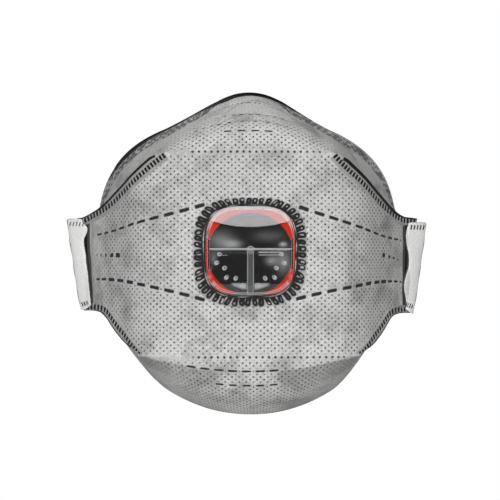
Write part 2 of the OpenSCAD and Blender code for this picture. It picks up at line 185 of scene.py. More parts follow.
print("bodies", sorted(frame["bodies"]), "nodes", len(frame["nodes"]))

# %% [markdown]
# ## Camera
# The picture was taken about a metre in front of the mask with a long lens, level, and a little round to
# the left. The camera looks at the middle of the valve, which lies a hair below the middle of the picture.

# %% Camera
MM = 0.001
CUP_DEPTH = 46.0
PICTURE_MM = 215.0
CAMERA_MM = 1000.0
SENSOR_MM = 36.0
CAMERA_TURN = math.radians(-1.6)

aim = np.array([0.0, -CUP_DEPTH - 2.0, 0.4])
toward_camera = np.array([math.sin(CAMERA_TURN), -math.cos(CAMERA_TURN), 0.0])
camera_data = bpy.data.cameras.new("camera")
camera_data.sensor_width = SENSOR_MM
camera_data.lens = SENSOR_MM * CAMERA_MM / PICTURE_MM
camera = bpy.data.objects.new("camera", camera_data)
camera.location = (aim + toward_camera * CAMERA_MM) * MM
camera.rotation_euler = (math.radians(90.0), 0.0, CAMERA_TURN)
bpy.context.scene.collection.objects.link(camera)
bpy.context.scene.camera = camera
print("lens", round(camera_data.lens, 1), "mm at", [round(v, 3) for v in camera.location])

# %% [markdown]
# ## One helper for shader nodes
# Every finish below is a small node graph. One function adds a node, sets its properties and either sets or
# links its inputs, and one turns a colour as it is read off a screen into the linear value a shader needs.

# %% Shader helpers
def linear(hex_colour):
    """sRGB hex to linear RGBA: v/12.92 below 0.04045, else ((v + 0.055)/1.055) to the power 2.4."""
    value = np.array([int(hex_colour[i:i + 2], 16) for i in (1, 3, 5)]) / 255
    value = np.where(value <= 0.04045, value / 12.92, ((value + 0.055) / 1.055) ** 2.4)
    return (*(float(v) for v in value), 1.0)


def add_node(tree, kind, inputs=None, **settings):
    """Adds a shader node with its settings. An input is a value, another node, whose first shown output is
    linked, or one output socket of a node."""
    node = tree.nodes.new("ShaderNode" + kind)
    for name, value in settings.items():
        setattr(node, name, value)
    for key, value in (inputs or {}).items():
        if isinstance(value, bpy.types.Node):
            value = next(socket for socket in value.outputs if socket.enabled)
        if isinstance(value, bpy.types.NodeSocket):
            tree.links.new(value, node.inputs[key])
        else:
            node.inputs[key].default_value = value
    return node


def new_material(name):
    """A material and its emptied node tree, to which a finish adds its nodes and an output."""
    material = bpy.data.materials.new(name)
    material.use_nodes = True
    material.node_tree.nodes.clear()
    return material, material.node_tree


# %% [markdown]
# ## Floor and light
# A pale floor lies under the mask, short enough to stay below the picture. The world is white where the
# camera, a reflection or clear plastic looks at it, and a soft grey where it lights the mask. Behind the
# camera the studio is dark, so the valve's clear front, which faces it, mirrors next to nothing. Two large
# lamps stand in front, above and below the camera, and one behind lights the lining. They are hidden from
# reflections. One overhead lamp shines on the valve's hood.

# %% Floor and light
FLOOR_Z = -150.0
FLOOR_HALF = np.array([420.0, 190.0])
FLOOR_LIFT = 0.3
ROOM_LIGHT = 0.025
DARK_WALL = 0.04

floor_mesh = bpy.data.meshes.new("floor")
corner = np.array([[-1, -1], [1, -1], [1, 1], [-1, 1]]) * FLOOR_HALF
floor_mesh.from_pydata(np.c_[corner, np.full(4, FLOOR_Z)] * MM, [], [(0, 1, 2, 3)])
floor = bpy.data.objects.new("floor", floor_mesh)
bpy.context.scene.collection.objects.link(floor)
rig.stage(floor)
floor_paint, tree = new_material("pale_studio_paper")
mottle = add_node(tree, "TexNoise", {"Scale": 12.0, "Detail": 2.0})
tone = add_node(tree, "Mix", {"Factor": mottle, "A": linear("#ECECEB"), "B": linear("#E6E6E5")},
                data_type="RGBA")
seen = add_node(tree, "LightPath").outputs["Is Camera Ray"]
lift = add_node(tree, "MapRange", {"Value": seen, "To Max": FLOOR_LIFT})
paper = add_node(tree, "BsdfPrincipled", {
    "Base Color": tone, "Roughness": 0.9, "Emission Color": (1, 1, 1, 1), "Emission Strength": lift})
add_node(tree, "OutputMaterial", {"Surface": paper})
floor_mesh.materials.append(floor_paint)

world = bpy.data.worlds.new("studio")
bpy.context.scene.world = world
world.use_nodes = True
tree = world.node_tree
tree.nodes.clear()
path = add_node(tree, "LightPath").outputs
mirror = add_node(tree, "Math", {0: path["Is Glossy Ray"], 1: path["Is Transmission Ray"]},
                  operation="MAXIMUM")
seen = add_node(tree, "Math", {0: path["Is Camera Ray"], 1: mirror}, operation="MAXIMUM")
level = add_node(tree, "MapRange", {"Value": seen, "To Min": ROOM_LIGHT, "To Max": 1.0})
way = add_node(tree, "SeparateXYZ", {0: add_node(tree, "TexCoord").outputs["Generated"]})
wall = add_node(tree, "MapRange", {"Value": way.outputs["Y"], "From Min": -0.8, "From Max": -0.2,
                                   "To Min": DARK_WALL, "To Max": 1.0}, interpolation_type="SMOOTHSTEP")
unlit = add_node(tree, "Math", {0: level, 1: wall}, operation="MULTIPLY")
strength = add_node(tree, "Mix", {"Factor": mirror, "A": level, "B": unlit})
sky = add_node(tree, "Background", {"Color": (1, 1, 1, 1), "Strength": strength})
add_node(tree, "OutputWorld", {"Surface": sky})


def lamp(name, place_mm, wide_mm, tall_mm, watts):
    """A soft lamp, wide_mm by tall_mm, at place_mm that faces the middle of the mask."""
    data = bpy.data.lights.new(name, "AREA")
    data.shape = "RECTANGLE"
    data.size, data.size_y = wide_mm * MM, tall_mm * MM
    data.energy = watts
    light = bpy.data.objects.new(name, data)
    place = np.array(place_mm)
    away = (place - aim) / np.linalg.norm(place - aim)
    light.location = place * MM
    light.rotation_euler = (math.acos(away[2]), 0.0, math.atan2(away[0], -away[1]))
    bpy.context.scene.collection.objects.link(light)
    return light


for name, place_mm, watts in [("upper_softbox", (-70, -1150, 500), 9.8),
                              ("lower_softbox", (-70, -1150, -400), 4.3),
                              ("rear_softbox", (-100, 1150, 420), 7.0)]:
    light = lamp(name, place_mm, 600, 600, watts)
    light.visible_glossy = False
    light.visible_transmission = False
    light.visible_camera = False
lamp("overhead_softbox", (0, -260, 640), 440, 175, 1.0)
bpy.context.scene.view_settings.view_transform = "Standard"
print("lamps", [o.name for o in bpy.data.objects if o.type == "LIGHT"])

# %% [markdown]
# ## From grids of points to closed pieces
# A sheet of fabric is two grids of points, its outer and its inner face, with walls where the grid ends. The
# grid's cells become quads, and an edge that only one cell uses is where a wall belongs, so holes close too.
# A sheet keeps the pattern coordinates of its points. A tube is a row of closed rings with a fan at each end.

# %% Mesh helpers
FAR = 9.0
FIELD_REST = {"weld": FAR, "rim": 30.0, "run": 0.0, "fold": FAR, "dots": 1.0, "painted_shade_and_spots": 0.0}


def put_mesh(name, points, faces, flat=None, fields=None, sharp=40.0):
    """Object from points in mm and lists of faces. flat is a pattern coordinate per point, in mm, and fields
    holds named numbers per point, with FIELD_REST where a fabric piece gives none. Points that no face uses
    are dropped, and edges over the angle sharp stay sharp."""
    used, corner = np.unique(np.concatenate([f.ravel() for f in faces]), return_inverse=True)
    split = np.cumsum([f.size for f in faces])[:-1]
    rows = [part.reshape(f.shape) for part, f in zip(np.split(corner, split), faces)]
    mesh = bpy.data.meshes.new(name)
    mesh.from_pydata(points[used] * MM, [], [face for part in rows for face in part.tolist()])
    if flat is not None:
        mesh.uv_layers.new(name="flat").data.foreach_set("uv", flat[used][corner].astype(np.float32).ravel())
        fields = {key: np.full(len(points), rest) for key, rest in FIELD_REST.items()} | (fields or {})
    for key, values in (fields or {}).items():
        layer = mesh.attributes.new(key, "FLOAT", "POINT")
        layer.data.foreach_set("value", values[used].astype(np.float32))
    mesh.polygons.foreach_set("use_smooth", np.ones(len(mesh.polygons), bool))
    mesh.set_sharp_from_angle(angle=math.radians(sharp))
    piece = bpy.data.objects.new(name, mesh)
    bpy.context.scene.collection.objects.link(piece)
    print(name, len(mesh.vertices), "points", len(mesh.polygons), "faces")
    return piece


def cells(rows, cols, wrap=False):
    """Corner numbers of a grid's cells, counter-clockwise with columns to the right and rows upwards.
    With wrap the last column joins the first."""
    number = np.arange(rows * cols).reshape(rows, cols)
    if wrap:
        number = np.c_[number, number[:, :1]]
    return np.stack([number[:-1, :-1], number[:-1, 1:], number[1:, 1:], number[1:, :-1]], -1).reshape(-1, 4)


def shell(name, outer, inner, keep=None, wrap=False, flat=None, fields=None, sharp=40.0, order=1):
    """Closed solid between two grids: the outer cells, the inner cells turned over, and a wall on every edge
    that one cell alone uses. keep marks the cells that are there. An order of -1 takes the columns from the
    right, so that a mirrored grid faces outwards too."""
    outer, inner = outer[:, ::order], inner[:, ::order]
    count = outer.shape[0] * outer.shape[1]
    front = cells(*outer.shape[:2], wrap=wrap)
    if keep is not None:
        front = front[keep.ravel()]
    edge = np.concatenate([front[:, [k, (k + 1) % 4]] for k in range(4)])
    alone = edge[~np.isin(edge[:, 0] * count + edge[:, 1], edge[:, 1] * count + edge[:, 0])]
    wall = np.c_[alone[:, 1], alone[:, 0], alone[:, 0] + count, alone[:, 1] + count]
    both = None if flat is None else np.tile(flat[:, ::order].reshape(-1, 2), (2, 1))
    doubled = {key: np.tile(values[:, ::order].ravel(), 2) for key, values in (fields or {}).items()}
    points = np.concatenate([outer.reshape(-1, 3), inner.reshape(-1, 3)])
    return put_mesh(name, points, [front, front[:, ::-1] + count, wall], both, doubled, sharp)


def tube(name, rings, sharp=60.0):
    """Closed solid through a row of closed rings, with a fan of triangles on each end's middle point. Each
    ring runs counter-clockwise seen from the far end of the row."""
    rows, cols = rings.shape[:2]
    side = cells(rows, cols, wrap=True)
    points = np.concatenate([rings.reshape(-1, 3), rings[0].mean(0)[None], rings[-1].mean(0)[None]])
    here, ahead = np.arange(cols), np.roll(np.arange(cols), -1)
    last = (rows - 1) * cols
    first_fan = np.c_[ahead, here, np.full(cols, rows * cols)]
    last_fan = np.c_[here + last, ahead + last, np.full(cols, rows * cols + 1)]
    return put_mesh(name, points, [side, first_fan, last_fan], sharp=sharp)


def unit(vectors):
    """Vectors scaled to length 1."""
    return vectors / np.maximum(np.linalg.norm(vectors, axis=-1, keepdims=True), 1e-9)


def outward(points):
    """Unit normals of a grid of points: across its columns times up its rows."""
    return unit(np.cross(np.gradient(points, axis=1), np.gradient(points, axis=0)))


def run_along(points):
    """Distance in mm along lines of points that run down the first axis: their steps' lengths, summed."""
    steps = np.linalg.norm(np.diff(points, axis=0), axis=-1)
    return np.concatenate([np.zeros_like(steps[:1]), np.cumsum(steps, axis=0)])


# %% [markdown]
# ## The bent centre sheet
# The centre panel is one flat sheet, bent round upright lines: flat over the valve, a round turn at each side
# and a straight flank to the strap. Working in the flat sheet's own coordinates, s along it and z up it,
# keeps the fabric's pattern at its real size, as bending doesn't stretch cloth.

# %% The bend
FLAT_HALF = 30.0
TURN_R = 27.0
FLANK = math.radians(56.0)
FLANK_START = FLAT_HALF + TURN_R * FLANK
TAB_ROOT_X = 69.6
TAB_TURN = math.radians(36.0)
FLANK_LONG = (TAB_ROOT_X - FLAT_HALF - TURN_R * math.sin(FLANK)) / math.cos(FLANK)
TAB_ROOT = FLANK_START + FLANK_LONG


def smooth_step(low, high, value):
    """0 below low, 1 above high and 3t^2 - 2t^3 between."""
    t = np.clip((value - low) / (high - low), 0, 1)
    return t * t * (3 - 2 * t)


def bend(s, back):
    """Point of the sheet at s mm along it and back mm behind its face: x and depth. The sheet is flat to
    FLAT_HALF, follows an arc of radius TURN_R through the angle FLANK, runs straight to the tab's root and
    carries on along the tab at TAB_TURN."""
    along = np.abs(s)
    turn = np.clip((along - FLAT_HALF) / TURN_R, 0, FLANK)
    flank = np.clip(along - FLANK_START, 0, FLANK_LONG)
    tab = np.maximum(along - TAB_ROOT, 0)
    facing = turn - (FLANK - TAB_TURN) * smooth_step(-1, 1, along - TAB_ROOT)
    x = np.minimum(along, FLAT_HALF) + TURN_R * np.sin(turn) + flank * np.cos(turn) + tab * np.cos(TAB_TURN)
    depth = TURN_R * (1 - np.cos(turn)) + flank * np.sin(turn) + tab * np.sin(TAB_TURN)
    return np.sign(s) * (x - back * np.sin(facing)), depth + back * np.cos(facing)


def on_sheet(s, z, back=0.0):
    """Place in the frame, in mm, of the sheet's point (s, z)."""
    s, z, back = np.broadcast_arrays(s, z, back)
    x, depth = bend(s, back)
    return np.stack([x, depth - CUP_DEPTH, z], -1)


def along_from_x(x):
    """The s at which the bent sheet's face is x mm from the middle."""
    s = np.linspace(0, 120, 4801)
    return np.interp(x, bend(s, 0.0)[0], s)


for part, start in [("flank", FLANK_START), ("tab", TAB_ROOT)]:
    print("the", part, "starts at", np.round(bend(start, 0.0), 2))

# %% [markdown]
# ## Welded marks
# The layers are held together by rows of small ultrasonic welds: long dashes that run from the valve to the
# straps and differ left and right, heavy dots along the folds, drawn on the sheets on both sides of a fold,
# and short bars across the nose and chin. A dash or bar is a box in the flat sheet. The distance to the
# nearest box is stored on the mesh, so a finish can draw a crisp edge between points, and the sheet sinks a
# little at each one, as welded fabric does.

# %% Weld marks
DASH_START = 21.6


def mark_distance(flat, marks):
    """Signed distance in mm from each flat point to the nearest mark, negative inside. A mark is a box:
    middle u and v, angle, half length, half width."""
    nearest = np.full(flat.shape[:-1], FAR)
    for u, v, angle, half_l, half_w in marks:
        du, dv = flat[..., 0] - u, flat[..., 1] - v
        run = np.abs(du * np.cos(angle) + dv * np.sin(angle)) - half_l
        side = np.abs(dv * np.cos(angle) - du * np.sin(angle)) - half_w
        gap = np.hypot(np.maximum(run, 0), np.maximum(side, 0)) + np.minimum(np.maximum(run, side), 0)
        nearest = np.minimum(nearest, gap)
    return nearest


def curved_row(places, rise, half_l, half_w):
    """Marks at the places along u on the curve v = rise(u), each turned along the curve."""
    places = np.asarray(places, float)
    slope = np.arctan(rise(places + 0.5) - rise(places - 0.5))
    size = np.broadcast_to(half_l, places.shape), np.broadcast_to(half_w, places.shape)
    return np.c_[places, rise(places), slope, size[0], size[1]]


def upper_arch(u):
    """Height in mm of the upper row of dashes at u mm from the middle: on each side a falling line with a
    slight sag, lower and steeper on the right."""
    out = np.abs(u) - DASH_START
    return np.where(u > 0, 18.9 - 0.355 * out + 0.0021 * out ** 2, 19.4 - 0.288 * out + 0.00143 * out ** 2)


def lower_arch(u):
    """Height in mm of the lower row of dashes: a line that rises and flattens towards the strap, sooner on
    the right."""
    out = np.abs(u) - DASH_START
    return np.where(u > 0, -20.4 + 0.262 * out - 0.0025 * out ** 2, -20.6 + 0.29 * out - 0.0026 * out ** 2)


def strap_row(u):
    """Height in mm of the short row of blots beside the strap: level on the left, falling on the right."""
    return -1.9 - 0.15 * np.maximum(u - 70.5, 0)


FOLD_TOP, FOLD_LOW = 42.4, -45.6
FOLD_PITCH = 2.75
UPPER_ROW, LOWER_ROW = (FOLD_TOP + 0.4, -27.0, 33.0), (FOLD_LOW - 0.25, -25.0, 42.0)
UPPER_LEFT = -np.array([21.6, 28.3, 35.0, 41.7, 48.4, 55.1, 62.6, 69.6, 76.2, 81.3, 86.2])
UPPER_RIGHT = np.array([23.3, 30.1, 36.5, 42.9, 50.0, 56.4, 63.7, 70.3, 76.8, 81.6, 85.9])
LOWER_LEFT = -np.array([21.6, 28.3, 35.0, 42.0, 49.3, 56.8, 64.0, 70.8, 76.8, 82.0, 86.4])
LOWER_RIGHT = np.array([22.1, 28.8, 35.7, 43.0, 50.0, 57.2, 64.6, 70.5, 75.9, 81.0, 85.4])
DASH_HALF = [2.25, 2.3, 2.3, 2.35, 2.4, 2.4, 2.4, 2.3, 1.9, 1.7, 1.2]
UPPER_DASH = [0.86, 0.78, 0.74, 0.7, 0.62, 0.56, 0.52, 0.48, 0.46, 0.44, 0.42]
LOWER_DASH = [0.82, 0.76, 0.76, 0.74, 0.72, 0.8, 0.7, 0.74, 0.56, 0.48, 0.44]
STRAP_PLACES = np.array([65.5, 70.5, 75.5, 79.5, 83.0])
centre_marks = np.concatenate([
    curved_row(UPPER_LEFT, upper_arch, DASH_HALF, UPPER_DASH),
    curved_row(UPPER_RIGHT, upper_arch, DASH_HALF, UPPER_DASH),
    curved_row(LOWER_LEFT, lower_arch, DASH_HALF, LOWER_DASH),
    curved_row(LOWER_RIGHT, lower_arch, DASH_HALF, LOWER_DASH),
    curved_row(-STRAP_PLACES, strap_row, [1.8, 1.3, 0.65, 0.5, 0.4], [1.0, 0.9, 0.85, 0.8, 0.75]),
    curved_row(STRAP_PLACES[1:], strap_row, [1.25, 0.9, 0.7, 0.5], [0.95, 0.75, 0.6, 0.45]),
])
print("marks on the centre panel", len(centre_marks))

# %% [markdown]
# ## Centre panel: cover, filter core and lining
# The cover is what the picture shows, the core and lining are seen at the edges and from the wearer's side.
# The outline is a long hexagon with a round hole for the valve. Each row of the grid ends on the outline, and
# the points at the hole are drawn onto its circle, so both edges are clean.

# %% Centre panel
EDGE_Z = np.array([FOLD_LOW, -37.3, -29.0, -26.0, -25.4, 13.8, 16.9, 26.2, 33.0, FOLD_TOP])
EDGE_X = np.array([48.0, 53.7, 60.8, 64.7, 69.4, 70.2, 64.6, 53.4, 46.0, 36.6])
HOLE_R = 18.2
LAYERS = {"cover": (0.0, 0.7), "filter": (0.78, 1.55), "lining": (1.63, 2.3)}
WELD_SINK = 0.25
CHANNEL_SINK, CHANNEL_WIDE = 0.35, 2.4


def soft_swell(s, z):
    """Slow unevenness of the limp sheet in mm: three sets of slanting waves, 37 to 54 mm long."""
    return (0.22 * np.sin(s / 9.1 + 0.7) * np.sin(z / 8.3 + 0.4) + 0.25 * np.sin(s / 14.0 - z / 11.0)
            + 0.18 * np.cos(z / 6.1 + s / 23.0))


def centre_grid(step):
    """Flat grid of the centre panel with steps of about step mm: rows at equal z, columns at equal shares of
    each row's half length. The second result marks the cells outside the valve hole."""
    z = np.linspace(FOLD_LOW, FOLD_TOP, int((FOLD_TOP - FOLD_LOW) / step) + 1)
    half = along_from_x(np.interp(z, EDGE_Z, EDGE_X))
    share = np.linspace(-1, 1, 2 * int(half.max() / step) + 1)
    flat = np.stack([half[:, None] * share, np.repeat(z[:, None], len(share), 1)], -1)
    middle = (flat[1:, 1:] + flat[:-1, :-1]) / 2
    keep = np.hypot(middle[..., 0], middle[..., 1]) > HOLE_R
    around = np.zeros(flat.shape[:2], int)
    for rows, cols in [(0, 0), (0, 1), (1, 0), (1, 1)]:
        around[rows:rows + keep.shape[0], cols:cols + keep.shape[1]] += keep
    radius = np.hypot(flat[..., 0], flat[..., 1])
    on_hole = (around > 0) & (around < 4) & (radius < HOLE_R + 2)
    flat[on_hole] *= (HOLE_R / radius[on_hole])[:, None]
    return flat, keep


GREY_SPOTS = np.array([(-41.0, -17.0, 9.0, 0.3), (-45.0, 5.0, 8.0, 0.2), (-26.0, -22.0, 7.0, 0.18),
                   (-14.0, 32.0, 9.0, 0.2), (34.0, 28.0, 8.0, 0.15), (46.0, -20.0, 9.0, 0.2)])


def spots_and_painted_shade(s, z):
    """Share of grey on the sheet: soft round spots of greyer tone, and painted shade that darkens the flanks towards
    the straps, more on the right.
    """
    at_s, at_z, wide, strength = GREY_SPOTS.T[:, :, None, None]
    spots = (strength * np.exp(-((s - at_s) ** 2 + (z - at_z) ** 2) / wide ** 2)).sum(axis=0)
    # Painted shade: the flanks that turn away towards the straps are painted darker, the right one more.
    return spots + 0.16 * smooth_step(50, 76, np.abs(s)) + 0.1 * smooth_step(50, 76, s)


def off_row(s, height, row):
    """Height in mm over a fold's row of heavy dots, and FAR beyond the row's first and last place."""
    level, first, last = row
    return np.where((s > first) & (s < last), height - level, FAR)


def centre_sheet(name, level, step):
    """One layer of the centre panel: its two faces follow the bend at the level's depths, sunk at the marks
    and along the welded arches, and swollen a little between them."""
    flat, keep = centre_grid(step)
    s, z = flat[..., 0], flat[..., 1]
    weld = mark_distance(flat, centre_marks)
    arch = np.minimum(np.abs(z - upper_arch(s)), np.abs(z - lower_arch(s)))
    arch = np.where(np.abs(s) > DASH_START - 3, arch, FAR)
    from_side = along_from_x(np.interp(z, EDGE_Z, EDGE_X)) - np.abs(s)
    fade = smooth_step(0, 8, FOLD_TOP - z) * smooth_step(0, 8, z - FOLD_LOW)
    fade = fade * smooth_step(24, 34, np.hypot(s, z)) * smooth_step(2, 10, from_side)
    sink = CHANNEL_SINK * np.exp(-(arch / CHANNEL_WIDE) ** 2) - soft_swell(s, z) * fade
    sink = sink * fade + WELD_SINK * smooth_step(0.4, -0.3, weld)
    face, rear = on_sheet(s, z, level[0] + sink), on_sheet(s, z, level[1] + sink)
    dots = 1 - 0.7 * smooth_step(70, 85, np.abs(s))
    dots = dots * smooth_step(0.8, 2.0, UPPER_ROW[0] - z) * smooth_step(0.8, 2.0, z - LOWER_ROW[0])
    dots = dots * smooth_step(0.3, 1.1, weld)
    fold = np.where(z > 0, off_row(s, z, UPPER_ROW), off_row(s, z, LOWER_ROW))
    fields = {"weld": weld, "fold": fold, "dots": dots, "painted_shade_and_spots": spots_and_painted_shade(s, z)}
    return shell(name, face, rear, keep, flat=flat, fields=fields)


centre = {}
for kind, step in [("cover", 0.6), ("filter", 1.5), ("lining", 1.0)]:
    centre[kind] = centre_sheet(f"center_{kind}_sheet", LAYERS[kind], step)
    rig.ride(centre[kind], "cup")
    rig.replaces(centre[kind], "center_" + kind)

# %% [markdown]
# ## Upper and lower panel
# The upper panel carries on from the fold's row of dots, turns over the soft fold and reaches the rim over
# the nose and cheeks. Past the fold's ends it starts behind the welded side seams. Each column of its grid is
# one cubic curve from its foot to the rim: in the middle it leaves the fold upright and turns over slowly, at
# the sides it is a nearly straight stretch with a small crown. The lower panel is the same with other sizes.

# %% Curves for the panels
def cubic(p0, p1, p2, p3, t):
    """Bezier cubic: (1-t)^3 p0 + 3(1-t)^2 t p1 + 3(1-t) t^2 p2 + t^3 p3."""
    t = t[..., None]
    return (1 - t) ** 3 * p0 + 3 * (1 - t) ** 2 * t * p1 + 3 * (1 - t) * t ** 2 * p2 + t ** 3 * p3


def place(x, depth, z):
    """A point of the frame in mm from x, the depth behind the front plane, and z."""
    return np.array([x, depth - CUP_DEPTH, z], float)


NOSE_RIM = [place(0, 28, 69.3), place(12, 28, 69.3), place(18.5, 31, 62.7), place(36.5, 36, 54.0)]
CHEEK_RIM = [place(36.5, 36, 54.0), place(57.5, 40, 45.3), place(65.0, 45, 33.0), place(66.8, 41, 14.6)]
CHIN_RIM = [place(0, 28, -72.4), place(15, 28, -72.4), place(27.2, 34, -68), place(36.8, 36, -62)]
JAW_RIM = [place(36.8, 36, -62), place(45.6, 38, -56), place(54.6, 46, -42.3), place(65.4, 41, -26.0)]
PANEL_BACK = 2.6
PANEL_STEP = 0.5
MIRROR_X = np.array([-1.0, 1.0, 1.0])


def folded_panel(fold_z, fold_x, seam_z, seam_x, middle_rim, side_rim, soft_fold, turn_share, crown, shift):
    """Outer face of a folded panel, rows from foot to rim: grid of points, flat pattern coordinates, distance
    to the rim along the sheet, the same as seen from the front, and the run along the rim. The foot follows
    the fold line, then the side seam behind the centre panel's edge. The rim is two cubics, moved by shift mm
    to the right, which fades out towards the seams' ends."""
    up = np.sign(fold_z)
    fold_s = along_from_x(fold_x)
    end_s = along_from_x(seam_x[-1])
    s = np.linspace(-end_s, end_s, 2 * int(end_s / PANEL_STEP) + 1)
    along = np.abs(s)
    beyond = np.clip((along - fold_s) / (end_s - fold_s), 0, 1)
    foot_z = np.where(along < fold_s, fold_z, np.interp(bend(along, 0.0)[0], seam_x, seam_z))
    foot = on_sheet(s, foot_z, PANEL_BACK * smooth_step(-9, 8, along - fold_s))
    flip = np.where(s[:, None] < 0, MIRROR_X, 1.0)
    rim = np.where(along[:, None] < fold_s, cubic(*middle_rim, np.clip(along / fold_s, 0, 1)),
                   cubic(*side_rim, beyond)) * flip
    rim[:, 0] += shift * (1 - beyond)
    reach = rim - foot
    tangent = np.gradient(foot + rim, axis=0)
    crowned = 4 / 3 * crown * unit(np.cross(tangent, reach) * up)
    softness = np.clip(1 - (along / fold_s) ** 2, 0, 1)
    lift = np.array([0, 0, up]) * soft_fold * softness[:, None]
    near = foot + lift + (1 - softness[:, None]) * (reach / 3 + crowned)
    crest = foot + lift
    far = rim - (rim - crest) * turn_share + crowned * (1 - 0.6 * softness[:, None])
    steps = 2 * int(np.linalg.norm(reach, axis=1).max() / PANEL_STEP / 2)
    v = np.linspace(0, 1, steps + 1)[:, None] * np.ones(len(s))
    grid = cubic(foot, near, far, rim, v)
    climb = run_along(grid)
    flat_foot = fold_z + (fold_z - foot_z)
    flat = np.stack([np.broadcast_to(s, v.shape), flat_foot + up * climb], -1)
    band = run_along(grid[::-1, :, [0, 2]])[::-1]
    return grid, flat, climb[-1] - climb, band, np.broadcast_to(run_along(rim), v.shape)


upper_seam, lower_seam = [9, 8, 7, 6, 5], [0, 1, 2, 3, 4]
upper_panel = folded_panel(FOLD_TOP, EDGE_X[9], EDGE_Z[upper_seam], EDGE_X[upper_seam], NOSE_RIM, CHEEK_RIM,
                           11.0, 0.60, 0.9, 0.0)
lower_panel = folded_panel(FOLD_LOW, EDGE_X[0], EDGE_Z[lower_seam], EDGE_X[lower_seam], CHIN_RIM, JAW_RIM,
                           19.0, 0.32, 0.8, 1.2)
upper_grid, upper_flat, upper_rim = upper_panel[:3]
lower_grid, lower_flat = lower_panel[:2]
for grid in (upper_grid, lower_grid):
    print("a panel lies between z", np.round(grid[..., 2].min(), 1), "and", np.round(grid[..., 2].max(), 1))

# %% [markdown]
# ## Rows of short welds over nose and chin
# Three rows of bars cross the nose and two cross the chin, and a column of four small dots stands over each
# end of the upper fold. A row is given by the height at which it crosses the middle of the panel, and its
# place on the flat sheet is read from the panel's own middle column.

# %% Nose and chin marks
def row_across(grid, flat, z, places, half_l, half_w, droop):
    """Marks at the given places along the sheet, at the flat height at which the middle column has height z,
    dropping by droop times the square of the distance from the middle."""
    middle = grid.shape[1] // 2
    heights, distances = grid[:, middle, 2], flat[:, middle, 1]
    order = np.argsort(heights)
    level = np.interp(z, heights[order], distances[order])

    def rise(u):
        """The row's flat height at u mm from the middle."""
        return level - droop * u ** 2

    return curved_row(places, rise, half_l, half_w)


crease_dots = np.array([[side * u, FOLD_TOP + v, 0.0, 0.3, 0.3] for side in (-1, 1)
                        for u, v in [(37.4, 2.5), (37.0, 5.5), (36.6, 8.5), (36.0, 11.5)]])
nose_marks = np.concatenate([
    row_across(upper_grid, upper_flat, 52.2, [-9.6, -3.6, 2.4, 8.3], [1.7, 1.8, 1.8, 1.8], 0.42, 0.002),
    row_across(upper_grid, upper_flat, 56.6, [-24, -20.5, -17, -13.5, -9, -3.1, 2.6, 8.3, 12.5], 0.9, 0.38,
               0.006),
    row_across(upper_grid, upper_flat, 59.9, [-15, -11, -7, -3.5, 0.5, 4.3, 8.3, 12, 15.5], 0.8, 0.36, 0.004),
    crease_dots,
])
chin_marks = np.concatenate([
    row_across(lower_grid, lower_flat, -52.0, np.arange(-25.5, 11, 6.0), 2.1, 0.46, -0.003),
    row_across(lower_grid, lower_flat, -58.4, np.arange(-13.4, 11, 5.95), 1.8, 0.46, -0.003),
])
print("marks over nose and chin", len(nose_marks), len(chin_marks))

# %% [markdown]
# ## Layers of the upper and lower panel
# Each layer is the panel's outer face moved inwards. The layers are pressed thin at the welded rim, parts of
# which show a dark cut edge. The upper cover is raised over the clip, and the upper panel has fine creases
# over the nose, which sink and are painted darker as painted shade. Beyond a line from each end of a fold the
# sheet is painted darker, as the painted shade of a facet turned from the light, more on the right, and the
# upper cover far from its fold is painted a little darker as painted shade too.

# %% Panel layers
RIM_PRESSED, RIM_PRESS_WIDE = 0.35, 6.0
CLIP_HALF, CLIP_FROM_RIM, CLIP_WIDE, CLIP_LEVEL, CLIP_EMBOSS = 33.0, 3.0, 5.0, (0.72, 1.06), 0.4
CLIP_EDGE, CLIP_EDGE_SAG = 8.6, 0.012
# Per side: where the line of a facet's painted shade ends, its slope, the shade's strength and how much more it is on
# the right.
SHADED_FACET = {1: (37.0, 0.4, 0.05, 0.1), -1: (49.0, 0.18, 0.8, 0.09)}
CREASES = [(65.9, 1.5, 0.041, 0.023), (60.0, 0.0, 0.027, 0.011), (57.1, 0.0, 0.021, 0.011)]
CREASE_HALF, CREASE_SINK = 0.55, 0.2
RIM_DARK = {1: ([-90, -70, -62, -54, -46, -36, -26, -18, -10, -4, 0, 20, 36, 50, 90],
                [0.2, 0.5, 1.5, 1.8, 1.3, 0.7, 1.3, 2.3, 2.3, 1.2, 0.7, 0.7, 0.5, 0.15, 0.15]),
            -1: ([-90, -30, -25, -15, -10, 5, 12, 48, 60, 90],
                 [0.15, 0.15, 0.5, 0.5, 0.15, 0.15, 0.5, 0.5, 0.2, 0.2])}


def creased(x, z):
    """Share from 0 to 1 of a crease over the nose: bells about curves that fall with the square of the
    distance from their middle, by one amount on the left and another on the right."""
    share = np.zeros_like(x)
    for height, middle, left, right in CREASES:
        fall = np.where(x < middle, left, right) * (x - middle) ** 2
        share = np.maximum(share, np.exp(-((z - height + fall) / CREASE_HALF) ** 2))
    return share * smooth_step(26, 14, np.abs(x))


